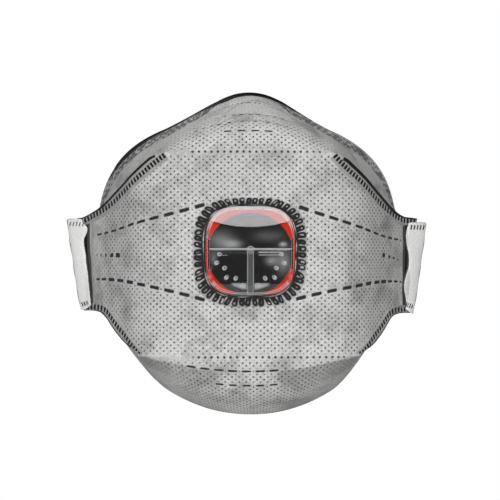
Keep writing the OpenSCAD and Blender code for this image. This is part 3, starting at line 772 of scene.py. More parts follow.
def panel_layer(name, panel, marks, fold_row, dot_fade, level, thin, raised):
    """One layer of a folded panel: the outer face moved inwards to the level's two depths. The layers are
    pressed together at the welded rim and raised over the clip. thin keeps every thin-th row and column. The
    fields say where the sheet is welded and dotted, and where it carries painted shade."""
    grid, flat, rim, band, run = (part[::thin, ::thin] for part in panel)
    middle = grid.shape[1] // 2
    if grid[0, middle, 2] > grid[-1, middle, 2]:
        grid, flat, rim, band, run = (part[::-1] for part in (grid, flat, rim, band, run))
    s, height = flat[..., 0], flat[..., 1]
    up = int(np.sign(fold_row[0]))
    weld = mark_distance(flat, marks)
    normal = outward(grid)
    press = RIM_PRESSED + (1 - RIM_PRESSED) * smooth_step(0, RIM_PRESS_WIDE, rim)
    over_clip = smooth_step(1.6, -0.8, np.abs(rim - CLIP_FROM_RIM - CLIP_WIDE / 2) - CLIP_WIDE / 2)
    over_clip = over_clip * smooth_step(CLIP_HALF + 2, CLIP_HALF - 2, np.abs(s)) * raised
    crease = creased(grid[..., 0], grid[..., 2]) * (up > 0)
    sink = WELD_SINK * smooth_step(0.4, -0.3, weld) - over_clip + CREASE_SINK * crease
    clip_edge = np.abs(rim - CLIP_EDGE - CLIP_EDGE_SAG * s ** 2) - 0.3
    stitched = (np.abs(s) < 24) & (raised > 0) & (np.abs(s) % 2.2 < 1.4)
    weld = np.where(stitched, np.minimum(weld, clip_edge), weld)
    weld = np.minimum(weld, 4 * (band - np.interp(s, *RIM_DARK[up])))
    face = grid - normal * (level[0] * press + sink)[..., None]
    rear = grid - normal * (level[1] * press + sink)[..., None]
    past_fold = np.abs(height - fold_row[0])
    fold = off_row(s, height, fold_row)
    dots = 1 - 0.7 * smooth_step(22, 40, np.abs(s)) * smooth_step(0, 10, past_fold)
    dots = dots * smooth_step(0.8, 2, past_fold)
    # Painted shade: beyond a line from the fold's end the facet turned from the light is painted darker, more on the
    # right; the nose creases and the upper cover far from its fold are painted darker too.
    facet_end, facet_slope, grey, lean = SHADED_FACET[up]
    beyond = past_fold - facet_slope * (facet_end - np.abs(s))
    painted_shade_and_spots = (grey + lean * np.sign(s)) * smooth_step(-0.3, 0.5, beyond) * smooth_step(10, 16, np.abs(s))
    painted_shade_and_spots = painted_shade_and_spots * (1 - 0.7 * smooth_step(5, 13, beyond) * (up < 0)) + 0.4 * crease
    painted_shade_and_spots = painted_shade_and_spots + 0.15 * raised / CLIP_EMBOSS * smooth_step(11, 15, past_fold)
    dots = dots * (1 - dot_fade * smooth_step(9, 24, past_fold)) * smooth_step(0.3, 1.1, weld)
    band = band + 4 * smooth_step(24, 8, np.abs(s)) + 30 * (up < 0)
    fields = {"weld": weld, "rim": band, "run": run, "fold": fold, "dots": dots, "painted_shade_and_spots": painted_shade_and_spots}
    return shell(name, face, rear, flat=flat, fields=fields)


UPPER_BEND = dict(start=(0, 0, 0.044), end=(0, 0, 0.068))
LOWER_BEND = dict(start=(0, 0, -0.0475), end=(0, 0, -0.070))
upper, lower = {}, {}
for sheets, word, panel, middle_part, side_part, across_fold in [
        (upper, "upper", (upper_panel, nose_marks, UPPER_ROW, 0.8), "nose", "cheek", UPPER_BEND),
        (lower, "lower", (lower_panel, chin_marks, LOWER_ROW, 0.0), "chin", "jaw", LOWER_BEND)]:
    for kind, thin in [("cover", 1), ("filter", 2), ("lining", 2)]:
        raised = CLIP_EMBOSS if (word, kind) == ("upper", "cover") else 0.0
        sheets[kind] = panel_layer(f"{word}_{kind}_sheet", *panel, LAYERS[kind], thin, raised)
        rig.blend(sheets[kind], "cup", f"{middle_part}_panel", **across_fold)
        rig.replaces(sheets[kind], f"{middle_part}_{kind}", f"{side_part}_{kind}s")

# %% [markdown]
# ## Nose clip and sealing foam
# A soft aluminium strip is sealed between the layers over the nose, and a strip of black foam is glued inside
# the upper rim, so that it shows as a dark line along the edge. Both follow the panel: the clip is a patch of
# the panel's own grid at another depth, the foam is a rounded section carried along the rim.

# %% Clip and foam
FOAM_HALF_W, FOAM_HALF_T, FOAM_FLARE, FOAM_SHARE = 4.5, 1.5, 0.55, 0.86
FOAM_AT = [-80, -70, -64, -56, -34, -16, 0, 18, 31, 38, 80]
FOAM_PROUD = [0.8, 1.0, 2.4, 2.5, 2.9, 2.3, 2.75, 3.1, 2.6, 0.9, 0.6]
FOAM_CORNERS = 28


def strip_on_panel(name, grid, rim, half, near, wide, level, steps):
    """A strip that follows the panel at a distance from the rim: each column's point where the rim distance
    is near + wide*t, for t from 1 to 0, at the level's two depths."""
    middle = grid.shape[1] // 2
    columns = np.flatnonzero(np.abs(np.arange(grid.shape[1]) - middle) * PANEL_STEP <= half)
    normal = outward(grid)
    wanted = near + wide * np.linspace(1, 0, steps)
    row = np.stack([np.interp(-wanted, -rim[:, c], np.arange(len(rim))) for c in columns], 1)
    low = np.clip(row.astype(int), 0, len(rim) - 2)
    part = (row - low)[..., None]
    face = grid[low, columns] * (1 - part) + grid[low + 1, columns] * part
    facing = normal[low, columns]
    return shell(name, face - facing * level[0], face - facing * level[1])


def rim_foam(name):
    """Rounded strip along the upper rim: a superellipse of exponent 4 across the panel's own directions at
    the rim, glued under the lining. It stands past the edge, by FOAM_PROUD at FOAM_AT along the rim, and
    flares there."""
    reach = int(upper_grid.shape[1] / 2 * FOAM_SHARE)
    middle = upper_grid.shape[1] // 2
    columns = np.arange(middle - reach, middle + reach + 1, 2)
    edge = upper_grid[-1, columns]
    over = unit(edge - upper_grid[-6, columns])
    facing = outward(upper_grid)[-1, columns]
    angle = np.linspace(0, 2 * np.pi, FOAM_CORNERS, endpoint=False)
    across = np.sign(np.cos(angle)) * np.abs(np.cos(angle)) ** 0.5 * FOAM_HALF_W
    thick = np.sign(np.sin(angle)) * np.abs(np.sin(angle)) ** 0.5 * FOAM_HALF_T
    taper = np.sqrt(np.clip(1 - np.linspace(-1, 1, len(columns)) ** 12, 0.05, 1))[:, None, None]
    glued = LAYERS["lining"][1] * RIM_PRESSED + 0.25 + FOAM_HALF_T
    proud = np.interp((columns - middle) * PANEL_STEP, FOAM_AT, FOAM_PROUD)[:, None, None]
    past = proud - FOAM_HALF_W + across[None, :, None] * taper
    lifted = thick[None, :, None] - glued + FOAM_FLARE * np.maximum(past, 0)
    return tube(name, edge[:, None] + over[:, None] * past + facing[:, None] * lifted)


nose_clip = strip_on_panel("nose_clip_strip", upper_grid, upper_rim, CLIP_HALF, CLIP_FROM_RIM, CLIP_WIDE,
                           CLIP_LEVEL, 9)
foam = rim_foam("rim_foam_strip")
for piece, nodes in [(nose_clip, ["nose_clip"]), (foam, ["nose_foam", "cheek_foams"])]:
    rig.blend(piece, "cup", "nose_panel", **UPPER_BEND)
    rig.replaces(piece, *nodes)

# %% [markdown]
# ## Welded side seams
# Where the panels meet at the sides they are welded together by a wheel that leaves a ladder of small bars
# and a smooth flat lip outside it, whose outer edge is painted dark as the painted shadow of the gap between
# the lip and the panel behind. A seam is a narrow strip on the bent sheet, and w runs across it.

# %% Side seams
SEAM_IN, LADDER_HALF, BAR_HALF, LADDER_PITCH = -2.4, 1.15, 0.5, 1.6
SEAM_PROUD, BAR_SINK, LIP_T = 0.75, 0.25, 1.2
UPPER_SEAM = [[36.4, 41.4], [41.0, 37.4], [46.9, 33.0], [57.8, 25.9], [69.3, 19.8], [78.8, 16.4],
              [86.6, 14.4], [91.0, 13.3], [95.0, 12.9]]
LOWER_SEAM = [[48.8, -45.2], [52.0, -42.3], [58.4, -37.1], [64.8, -33.2], [70.0, -29.4], [74.5, -26.0],
              [80.0, -25.0], [87.0, -24.9], [91.0, -25.0]]
SEAM_SHIFT, RIGHT_LOWER = 0.8, 1.2


def rounded_line(corners, rounds=4):
    """Smooth line through the neighbourhood of the corners: each round cuts every corner at a quarter."""
    line = np.array(corners, float)
    for _ in range(rounds):
        cut = np.stack([0.75 * line[:-1] + 0.25 * line[1:], 0.25 * line[:-1] + 0.75 * line[1:]], 1)
        line = np.concatenate([line[:1], cut.reshape(-1, 2), line[-1:]])
    return line


def side_seam(name, corners, lip, cut, taper, side):
    """Strip on the sheet along a rounded line in flat coordinates. Across it: from SEAM_IN inside the line to
    the lip's edge outside, which narrows towards the tab and is painted dark over the width cut, as painted
    shadow of the gap behind the lip. It stands proud of the cover and sinks at the bars. Its columns are
    ordered so that faces point outwards."""
    line = rounded_line(corners)
    length = run_along(line)
    run = np.linspace(0, length[-1], 320)
    path = np.stack([np.interp(run, length, line[:, k]) for k in (0, 1)], -1)
    step = unit(np.gradient(path, axis=0))
    up = int(np.sign(line[0, 1]))
    out = up * np.stack([-step[:, 1], step[:, 0]], -1)
    edge = LADDER_HALF + lip - (lip - 0.5) * smooth_step(TAB_ROOT - 24, TAB_ROOT - 2, path[:, 0])
    edge = SEAM_IN + (edge - SEAM_IN) * (1 - taper + taper * smooth_step(-0.5, 24 * taper, run))
    bar_run = run_along(on_sheet(path[:, 0], path[:, 1])[:, [0, 2]])
    share = np.linspace(0, 1, 26)[:, None]
    w = SEAM_IN + (edge - SEAM_IN)[None] * share
    flat = path[None] + out[None] * w[..., None]
    along = np.abs((bar_run / LADDER_PITCH) % 1 - 0.5) * LADDER_PITCH - BAR_HALF
    bars = np.maximum(along[None], np.abs(w) - LADDER_HALF)
    cut = cut * (1 - 0.6 * smooth_step(TAB_ROOT - 12, TAB_ROOT, path[:, 0]))
    # Painted shadow: the lip's outer edge, cut mm wide, is painted dark for the gap behind it.
    weld = np.minimum(bars, (edge - cut + 9 * smooth_step(2 + 8 * taper, 12 * taper - 2, run))[None] - w)
    proud = SEAM_PROUD * smooth_step(-0.03, 0.26, share) - BAR_SINK * smooth_step(0.25, -0.15, bars)
    thick = 0.1 + (LIP_T + SEAM_PROUD) * smooth_step(LADDER_HALF, LADDER_HALF + 0.5, w)
    flat = flat * [side, 1]
    face = on_sheet(flat[..., 0], flat[..., 1], -proud)
    rear = on_sheet(flat[..., 0], flat[..., 1], thick - proud)
    return shell(name, face, rear, flat=flat, fields={"weld": weld}, order=side * up)


SIDES = [(-1, "left"), (1, "right")]
TAB_BEND = {word: dict(start=(side * 0.0688, 0, 0), end=(side * 0.0722, 0, 0)) for side, word in SIDES}
seams = {}
for side, word in SIDES:
    shifted = [[along, height - side * SEAM_SHIFT * (40 < along < 90)] for along, height in UPPER_SEAM]
    lowered = [[along, height - RIGHT_LOWER * (side > 0) * (along > 50)] for along, height in LOWER_SEAM]
    # The painted shadow beside the upper lips is wider on the right.
    upper_painted_shadow = 1.6 if side > 0 else 1.15
    for level_name, corners, lip, cut, taper in [("upper", shifted, 2.2, upper_painted_shadow, 0.3),
                                                 ("lower", lowered, 1.6, 0.6, 0.6)]:
        key = f"{level_name}_{word}_seam"
        seams[key] = side_seam(key + "_strip", corners, lip, cut, taper, side)
        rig.blend(seams[key], "cup", f"{word}_tab", **TAB_BEND[word])
        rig.replaces(seams[key], key)

# %% [markdown]
# ## Toothed weld round the valve
# The fabric is melted to the valve by a toothed tool: a dark band next to the cover, and outside it a row of
# uneven arches, each a dark line round a paler eye. It is a ring surface: one parameter goes round a rounded
# square, the other goes from the cover outwards.

# %% Weld ring
RING_IN, RING_WIDE, RING_TALL, RING_POWER, TEETH, TOOTH_POINTS = 19.2, 24.7, 23.6, 3.2, 53, 22
RING_DROP, BAND_SHARE, RING_HIGH, RING_LOW = 0.5, 0.30, 0.8, 0.12
ARCH_R, EYE_R = 1.14, 0.27


def rounded_square(angle, half_x, half_z, power):
    """Superellipse |x/half_x|^power + |z/half_z|^power = 1 at polar angles."""
    scale = (np.abs(np.cos(angle)) ** power + np.abs(np.sin(angle)) ** power) ** (-1 / power)
    return half_x * scale * np.cos(angle), half_z * scale * np.sin(angle)


def weld_ring(name):
    """Ring of fabric melted into arches: the height is RING_HIGH on the dark parts and RING_LOW between. An
    arch is the part within its radius of an upright line with a round head, less a narrower one, its eye.
    Each leans, widens and lengthens a little by itself."""
    fine = np.linspace(0, 2 * np.pi, 20001)
    x, z = rounded_square(fine, (RING_IN + RING_WIDE) / 2, (RING_IN + RING_TALL) / 2, RING_POWER)
    length = run_along(np.stack([x, z], -1))
    count = TEETH * TOOTH_POINTS
    angle = np.interp(np.arange(count) * length[-1] / count, length, fine)
    phase = (np.arange(count) / TOOTH_POINTS % 1 - 0.5)[None]
    uneven = np.random.default_rng(5).uniform(-1, 1, (5, TEETH)).repeat(TOOTH_POINTS, axis=1)
    t = np.linspace(1, 0, 32)[:, None]
    pitch, deep = length[-1] / TEETH, (RING_WIDE + RING_TALL) / 2 - RING_IN
    lean = 0.2 * uneven[0] * smooth_step(0.3, 1.0, t) + 0.04 * np.sin(8 * t + 6 * uneven[3])
    across = (phase + lean) * pitch
    radius = ARCH_R + 0.14 * uneven[1]
    beyond = np.maximum((t - 0.95 - 0.045 * uneven[2]) * deep + radius, 0)
    arch = np.hypot(across, beyond) - radius
    eye = np.hypot(across + 0.2 * uneven[4], beyond) - EYE_R - 0.24 * uneven[3]
    eye = np.maximum(eye, (0.55 + 0.1 * uneven[4] - t) * deep)
    band = (t - BAND_SHARE + 0.05 * uneven[2]) * deep
    wander = 0.12 * np.sin(11 * angle + 2 * np.sin(3 * angle))
    streak = 0.1 + wander - np.abs(t - 0.15 - 0.03 * np.sin(5 * angle)) * deep
    dark = np.maximum(np.minimum(np.maximum(arch, -eye), band), streak)
    groove = 0.35 * np.exp(-((t - 0.14) / 0.05) ** 2)
    height = RING_LOW + (RING_HIGH - RING_LOW) * smooth_step(0.15, -0.15, dark) - groove
    fall = smooth_step(1.0, 0.95, t)
    half_x, half_z = (RING_IN + (half - RING_IN) * t for half in (RING_WIDE, RING_TALL))
    x, z = rounded_square(angle[None], half_x, half_z, RING_POWER)
    z = z - RING_DROP * t
    outer = np.stack([x, -CUP_DEPTH - height * fall - 0.02, z], -1)
    inner = np.stack([x, np.full(x.shape, -CUP_DEPTH + 0.05), z], -1)
    return shell(name, outer, inner, wrap=True, flat=np.stack([x, z], -1), fields={"weld": dark})


ring = weld_ring("valve_weld_teeth")
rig.ride(ring, "cup")
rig.replaces(ring, "valve_weld_ring")

# %% [markdown]
# ## Clear valve cover
# The cover is a clear moulding: a hood over the upper half whose roof slopes back, a ledge across the middle,
# two lower panes with an upright rib between them, and small pips that stop the flap. It is a height over the
# rounded square. The outside and the inside are two such heights, so the wall has a real thickness. Clear
# plastic lets the lamps' light through, so it casts no shadow. Fields on its points hold painted light:
# painted highlights and reflections where it looks pale, a painted red refraction of the base on the lower
# side walls, and painted darkness for the dark flap seen through it and for shade under the roof.

# %% Valve cover
COVER_HALF, COVER_POWER, COVER_WALL, WALL_STEEP, EDGE_ROUND = 19.45, 3.4, 0.8, 22.0, 0.9
HOOD_FRONT, PANE_FRONT, LEDGE_Z, ROOF_Z, ROOF_SLOPE = 10.9, 9.4, 0.5, 9.9, 0.72
RIB_HALF, RIB_HIGH, PIP_R, PIP_HIGH, SILL_Z, SILL_SLOPE = 1.1, 0.6, 0.85, 0.5, -14.4, 0.5
PIP_ANGLES = np.radians([6.0, 19.5, 33.4, 47.8, 61.6, 76.4])
PIP_NEAR, PIP_FAR = 13.5, 15.6


def pip_places():
    """Middles of the six pips of one pane: angles from the level, on two radii in turn."""
    radius = np.where(np.arange(len(PIP_ANGLES)) % 2, PIP_FAR, PIP_NEAR)
    return np.c_[radius * np.cos(PIP_ANGLES), -radius * np.sin(PIP_ANGLES)]


def pip_distance(x, z):
    """Distance in mm to the middle of the nearest pip of either pane."""
    return np.min([np.hypot(np.abs(x) - pip_x, z - pip_z) for pip_x, pip_z in pip_places()], axis=0)


def soft_min(a, b, width):
    """The smaller of two heights, rounded where they meet over the given width."""
    share = np.clip(0.5 + 0.5 * (b - a) / width, 0, 1)
    return b * (1 - share) + a * share - width * share * (1 - share)


def cover_height(x, z, half, drop, details):
    """Height in mm over the fabric: hood above the ledge with its roof sloping back, panes below with a
    sloping sill, all cut by the steep wall at the outline. details adds the ledge's bead, the rib and the
    pips."""
    roof_line = ROOF_Z + 0.009 * x ** 2
    hood = soft_min(HOOD_FRONT + 0 * z, HOOD_FRONT - ROOF_SLOPE * (z - roof_line), 0.25)
    pane = PANE_FRONT - SILL_SLOPE * np.maximum(SILL_Z + 0.004 * x ** 2 - z, 0)
    front = pane + (hood - pane) * smooth_step(LEDGE_Z - 0.5, LEDGE_Z + 0.5, z)
    if details:
        front = front + 0.35 * np.exp(-((z - LEDGE_Z + 1.0) / 0.45) ** 2)
        front = front + 0.4 * smooth_step(1.9, 1.3, np.hypot(x, z - LEDGE_Z))
        front = front + RIB_HIGH * smooth_step(RIB_HALF + 0.35, RIB_HALF - 0.1, np.abs(x)) * smooth_step(
            LEDGE_Z + 0.3, LEDGE_Z - 0.3, z)
        front = front + PIP_HIGH * smooth_step(1.0, 0.35, pip_distance(x, z) / PIP_R)
    inside = 1 - (np.abs(x / half) ** COVER_POWER + np.abs(z / half) ** COVER_POWER) ** (1 / COVER_POWER)
    return soft_min(front - drop, WALL_STEEP * inside * half, EDGE_ROUND)


def from_edge(x, z):
    """Distance in mm from the cover's outline inwards, measured along the line to the middle."""
    share = np.abs(x / COVER_HALF) ** COVER_POWER + np.abs(z / COVER_HALF) ** COVER_POWER
    return COVER_HALF * (1 - share ** (1 / COVER_POWER))


def stripe(offset, half, soft=0.15):
    """1 where offset is within half mm of 0, else 0, with the change spread over soft mm each way."""
    return smooth_step(soft, -soft, np.abs(offset) - half)


def painted_highlights(x, z):
    """Share from 0 to 1 of painted highlights and reflections on the clear moulding, which look pale. They are
    the rim, broad along the top, the ledge with its boss, bands of painted reflection under it, both sides of the
    rib and the sills' crescents. The palest wins."""
    inwards, boss = from_edge(x, z), np.hypot(x, z - LEDGE_Z)
    upper = smooth_step(4, 14, z)
    below = smooth_step(LEDGE_Z + 0.4, LEDGE_Z, z)
    reflected_band = np.maximum(stripe(x - 8.2, 4.6, 0.4), stripe(x + 11.4, 1.4, 0.4))
    streak = stripe(x - 8.6, 5.0, 0.4)
    crescent = np.maximum(np.maximum(z - SILL_Z - 0.1, np.hypot(x, z) - 16.7), RIB_HALF + 0.7 - np.abs(x))
    return np.max([
        (0.3 + 0.25 * upper) * stripe(inwards - 0.3, 0.1 + 0.8 * upper),
        0.55 * smooth_step(-12.5, -14.5, z) * stripe(inwards - 1.0, 0.12),
        0.55 * stripe(z - LEDGE_Z - 0.3, 0.32, 0.2),
        0.3 * stripe(boss - 1.3, 0.2, 0.2),
        0.2 * reflected_band * stripe(z - LEDGE_Z + 2.4, 0.12),
        0.3 * streak * stripe(z + 0.6, 0.16),
        0.24 * streak * stripe(z + 1.7, 0.16),
        0.05 * below * stripe(x, RIB_HALF, 0.2),
        0.5 * below * stripe(np.abs(x) - RIB_HALF - 0.1, 0.1),
        0.32 * smooth_step(0.2, -0.2, crescent),
    ], axis=0)


# Painted reflections and highlights on the cover: middle x and z, two half widths and strength.
PAINTED_REFLECTIONS = np.array([(-8.0, 3.0, 3.6, 1.6, 0.2), (-13.0, 4.6, 5.0, 3.4, 0.12), (14.2, 2.9, 1.4, 0.9, 0.26),
                   (9.3, -4.2, 2.4, 1.8, 0.16), (14.4, -4.6, 3.0, 4.6, 0.13), (-16.0, -3.3, 1.2, 2.6, 0.1),
                   (8.0, 6.5, 6.0, 2.2, 0.05), (-16.4, -14.6, 0.7, 0.9, 0.5), (16.8, -14.4, 0.7, 0.9, 0.5)])


def painted_reflections(x, z):
    """Painted reflections on the clear plastic, with painted highlights at the lower corners, each a bell in x and z:
    its middle, two half widths and strength.
    """
    at_x, at_z, wide, tall, strength = PAINTED_REFLECTIONS.T[:, :, None, None]
    return (strength * np.exp(-((x - at_x) / wide) ** 2 - ((z - at_z) / tall) ** 2)).sum(axis=0)


def painted_red_refraction(x, z):
    """Share of painted red on the lower side walls: a painted refraction of the red base behind them."""
    wall = stripe(from_edge(x, z) - 0.65, 0.38, 0.12) * (np.abs(x) > 12)
    return wall * smooth_step(5.2, 4.4, z) * smooth_step(-13.0, -10.0, z)


def painted_darkening(x, z):
    """Share of painted darkness: the side walls' inner corners carry a painted refraction of the dark flap, and the
    roof carries painted shade.
    """
    corner = stripe(from_edge(x, z) - 1.45, 0.3, 0.12) * (np.abs(x) > 12)
    corner = corner * smooth_step(5.6, 4.8, z) * smooth_step(-9.5, -7.5, z)
    return np.maximum(corner, 0.4 * smooth_step(-0.3, 0.3, z - ROOF_Z - 0.009 * x ** 2))


def spread_rows(end, count):
    """count heights from -end to end, closer together at the top, the bottom and the ledge: their spacing is
    inverse to a density, which is summed along the height."""
    fine = np.linspace(-end, end, 4001)
    density = 1 / np.sqrt(1.002 - (fine / COVER_HALF) ** 2) + 3 * np.exp(-((fine - LEDGE_Z + 0.4) / 1.1) ** 2)
    amount = np.concatenate([[0], np.cumsum((density[1:] + density[:-1]) / 2)])
    return np.interp(np.linspace(0, amount[-1], count), amount, fine)


def clear_cover(name):
    """Grid of the cover: rows gather at top, bottom and ledge. Columns are upright over the rib and spread
    from there to the outline, where they gather."""
    rows = spread_rows(0.9996 * COVER_HALF, 205)
    reach = COVER_HALF * (1 - np.abs(rows / COVER_HALF) ** COVER_POWER) ** (1 / COVER_POWER)
    middle = np.minimum(2.2, 0.5 * reach)[:, None]
    rib_columns = np.linspace(0, 1, 13)[None]
    side_columns = np.sin(np.linspace(0, np.pi / 2, 86))[None, 1:]
    half = np.concatenate([middle * rib_columns, middle + (reach[:, None] - middle) * side_columns], axis=1)
    x = np.concatenate([-half[:, :0:-1], half], axis=1)
    z = np.repeat(rows[:, None], x.shape[1], 1)
    painted_red, painted_dark = painted_red_refraction(x, z), painted_darkening(x, z)
    # All painted light: highlights, reflections, the red refraction of the base and the dark corners make the plastic
    # less clear.
    painted_light = np.max([painted_highlights(x, z), painted_reflections(x, z), 0.8 * painted_red, 0.8 * (painted_dark > 0.41) * painted_dark], axis=0)
    fields = {"painted_light": painted_light, "painted_red": painted_red, "painted_dark": painted_dark, "pip": pip_distance(x, z)}
    faces = []
    for half_size, drop, details in [(COVER_HALF, 0.0, True), (COVER_HALF - COVER_WALL, COVER_WALL, False)]:
        face_x, face_z = x * half_size / COVER_HALF, z * half_size / COVER_HALF
        height = np.maximum(cover_height(face_x, face_z, half_size, drop, details), 0.02)
        faces.append(np.stack([face_x, -CUP_DEPTH - height, face_z], -1))
    return shell(name, *faces, fields=fields, sharp=50.0)


cover = clear_cover("valve_clear_cover")
cover.visible_shadow = False
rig.ride(cover, "cup")
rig.replaces(cover, "valve_cover")

# %% [markdown]
# ## Flap and its bar
# The flap is a thin disc of black silicone, held along its top under a bar, slightly dished so that it closes
# on its seat by itself. Its top stays with the seat and the rest swings, so it bends across the joint. The
# bar is a separate moulding that stays on the base.

# %% Flap
FLAP_R, FLAP_BROAD, FLAP_Z, FLAP_FOOT, FLAP_FRONT, FLAP_T, FLAP_DISH = 17.5, 1.05, -1.1, 17.0, 3.4, 0.55, 0.12
FLAP_EDGE = 0.3
BAR_REACH, BAR_FOOT, BAR_R, BAR_BACK, BAR_T = 7.0, 14.2, 17.3, 3.5, 0.9


def flap_disc(name):
    """Thin dished disc, a little broader than tall, cut level at its foot: rings of points from the edge to
    the middle, with the edge rounded in front."""
    angle = np.linspace(0, 2 * np.pi, 160, endpoint=False)[None]
    rings = np.linspace(0.5, FLAP_R - FLAP_EDGE, 40)
    radius = np.concatenate([[0.02], rings, [FLAP_R - 0.1, FLAP_R]])[::-1][:, None]
    raised = FLAP_FRONT + FLAP_DISH * (1 - (radius / FLAP_R) ** 2)
    raised = raised - 0.12 * smooth_step(FLAP_R - FLAP_EDGE, FLAP_R, radius)
    outline = np.minimum(1, FLAP_FOOT / FLAP_R / np.maximum(-np.sin(angle), 0.1))
    x, z = FLAP_BROAD * radius * outline * np.cos(angle), FLAP_Z + radius * outline * np.sin(angle)
    front, back = (np.stack([x, -CUP_DEPTH - raised + behind + 0 * x, z], -1) for behind in (0, FLAP_T))
    return shell(name, front, back, wrap=True)


def holding_bar(name):
    """Bar over the flap's top: level below, an arc of BAR_R about the flap's middle above, rounded in
    front."""
    x = BAR_REACH * np.sin(np.linspace(-np.pi / 2, np.pi / 2, 61))[None]
    up = np.linspace(0, 1, 15)[:, None]
    z = BAR_FOOT + up * (FLAP_Z + np.sqrt(BAR_R ** 2 - x ** 2) - BAR_FOOT)
    crown = np.sqrt(np.maximum(1 - (2 * up - 1) ** 4, 0)) * np.sqrt(np.maximum(1 - (x / BAR_REACH) ** 8, 0))
    x = x + 0 * z
    front = np.stack([x, -CUP_DEPTH - BAR_BACK - BAR_T * (0.3 + 0.7 * crown), z], -1)
    back = np.stack([x, np.full(x.shape, -CUP_DEPTH - BAR_BACK), z], -1)
    return shell(name, front, back)


flap = flap_disc("valve_flap_disc")
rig.blend(flap, "cup", "flap", start=(0, 0, 0.0155), end=(0, 0, 0.0130))
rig.replaces(flap, "valve_flap")
bar = holding_bar("flap_holding_bar")
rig.ride(bar, "cup")
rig.replaces(bar, "flap_clamp")

# %% [markdown]
# ## Strap tabs and loops
# At each side the laminate ends in a short flexible tab, and a white nonwoven band is welded to it at its
# head and foot, standing off in between, so a strap passes under it. The band's inner edge is cut loosely and
# waves, each side's in its own way. A dark strip of painted shadow lies on the tab beside the band's inner
# edge, and the band's edges carry painted shade.

# %% Tabs and loops
TAB_TOP, TAB_FOOT = {-1: 14.4, 1: 12.9}, -26.6
TAB_IN, TAB_FACE, TAB_REAR, TAB_HEM = 68.2, 0.35, -0.8, 0.8
LOOP_OFF, LOOP_BOW, LOOP_T, SHADOW_BAND_WIDE = 0.75, 1.8, 0.9, 3.4
OUTER_Z, OUTER_X = [-27.0, -23.0, -17.0, -6.0, 7.0, 15.0], [74.4, 75.2, 76.3, 77.9, 80.0, 81.0]


def on_tab(x, z, ahead, side):
    """Place on a tab: ahead mm in front of the sheet's face, at x mm from the middle."""
    out = (x - TAB_ROOT_X - ahead * math.sin(TAB_TURN)) / math.cos(TAB_TURN)
    return on_sheet(side * (TAB_ROOT + out), z, -ahead)


def shadow_band_from(z, side):
    """x in mm from which a tab carries a dark strip of painted shadow: a slanted line on the left, an upright one on
    the right.
    """
    if side < 0:
        return 68.4 + 0.6 * smooth_step(-24, -13, z) + 1.4 * smooth_step(-15, 4, z)
    return 69.1 + 0.3 * smooth_step(-10, 0, z)


def inner_edge(z, side):
    """x in mm of a band's inner edge, cut loosely: a bulge at each side's own height, round at the top."""
    if side < 0:
        bulge = np.exp(-((z - 4.5) / np.where(z > 4.5, 3.6, 10.0)) ** 2)
        return shadow_band_from(z, side) + 0.2 + 2.2 * bulge + 3.0 * smooth_step(9.0, 14.4, z)
    return (shadow_band_from(z, side) + 2.4 * np.exp(-((z + 4.2) / 4.8) ** 2) + 2.4 * smooth_step(6.5, 12.6, z)
            + 1.1 * smooth_step(-18, -26, z) - 1.5 * np.exp(-((z + 15.5) / 4.2) ** 2))


def strap_tab(name, side):
    """Flat tab of pressed laminate: a quad grid from the panel's edge to its slanted outer edge."""
    share, up = np.meshgrid(np.linspace(0, 1, 44), np.linspace(0, 1, 90))
    foot = TAB_FOOT + 1.6 - 0.8 * side
    z = foot + (TAB_TOP[side] - TAB_HEM - foot) * up
    x = TAB_IN + (np.interp(z, OUTER_Z, OUTER_X) - TAB_HEM - TAB_IN) * share
    wave = 0.2 * np.sin(z / 2.3) * smooth_step(72, 70, x)
    face, rear = on_tab(x, z, TAB_FACE + wave, side), on_tab(x, z, TAB_REAR + wave, side)
    # Painted shadow: a strip beside the band's inner edge is marked as a weld, so it is painted dark.
    weld = np.maximum(shadow_band_from(z, side) - x, x - shadow_band_from(z, side) - SHADOW_BAND_WIDE)
    flat = np.stack([x, z], -1)
    return shell(name, face, rear, flat=flat, fields={"weld": weld}, order=side)


def strap_loop(name, side):
    """White band: head and foot lie on the tab, between them it bows forward. The face is crowned across, its
    inner edge waves, its inner, outer and top edges are painted dark as painted shade, and short bars weld its ends."""
    share, up = np.meshgrid(np.linspace(0, 1, 56), np.linspace(0, 1, 150))
    level = TAB_FOOT + (TAB_TOP[side] - TAB_FOOT) * up
    low = inner_edge(level, side)
    x = low + (np.interp(level, OUTER_Z, OUTER_X) + 0.12 * np.sin(level * 0.55) - low) * share
    across = 2 * share - 1
    z = level + (0.3 - 0.85 * side - 1.4 * across) * (1 - up) ** 6
    z = z + 0.7 * across ** 8 * ((1 - up) ** 12 - up ** 12)
    bow = LOOP_BOW * np.sin(np.pi * up) ** 0.7
    crown = 0.55 * (1 - np.abs(across) ** 3)
    flat = np.stack([x, z], -1)
    head = math.radians(90 - 14 * side)
    bars = [(73.4 + 1.5 * k, TAB_TOP[side] - 2.4, head, 1.05, 0.30 + 0.06 * side) for k in range(5)]
    foot = TAB_FOOT + 3.1 - 0.5 * side
    bars += [(70.6 + 1.05 * k, foot - 0.3 * k, math.radians(70), 0.95, 0.3) for k in range(4)]
    # Painted shade: thin dark lines along the band's inner, outer and top edges.
    edge = np.minimum(x - low - 0.22, np.interp(level, OUTER_Z, OUTER_X) - x - 0.12)
    edge = np.minimum(edge, TAB_TOP[side] - level - 0.12)
    weld = np.minimum(mark_distance(flat, bars), edge)
    sink = 0.22 * smooth_step(0.25, -0.15, weld)
    face = on_tab(x, z, LOOP_OFF + bow + LOOP_T + crown - sink, side)
    rear = on_tab(x, z, LOOP_OFF + bow + 0.6 * crown - sink, side)
    return shell(name, face, rear, flat=flat, fields={"weld": weld}, order=side)


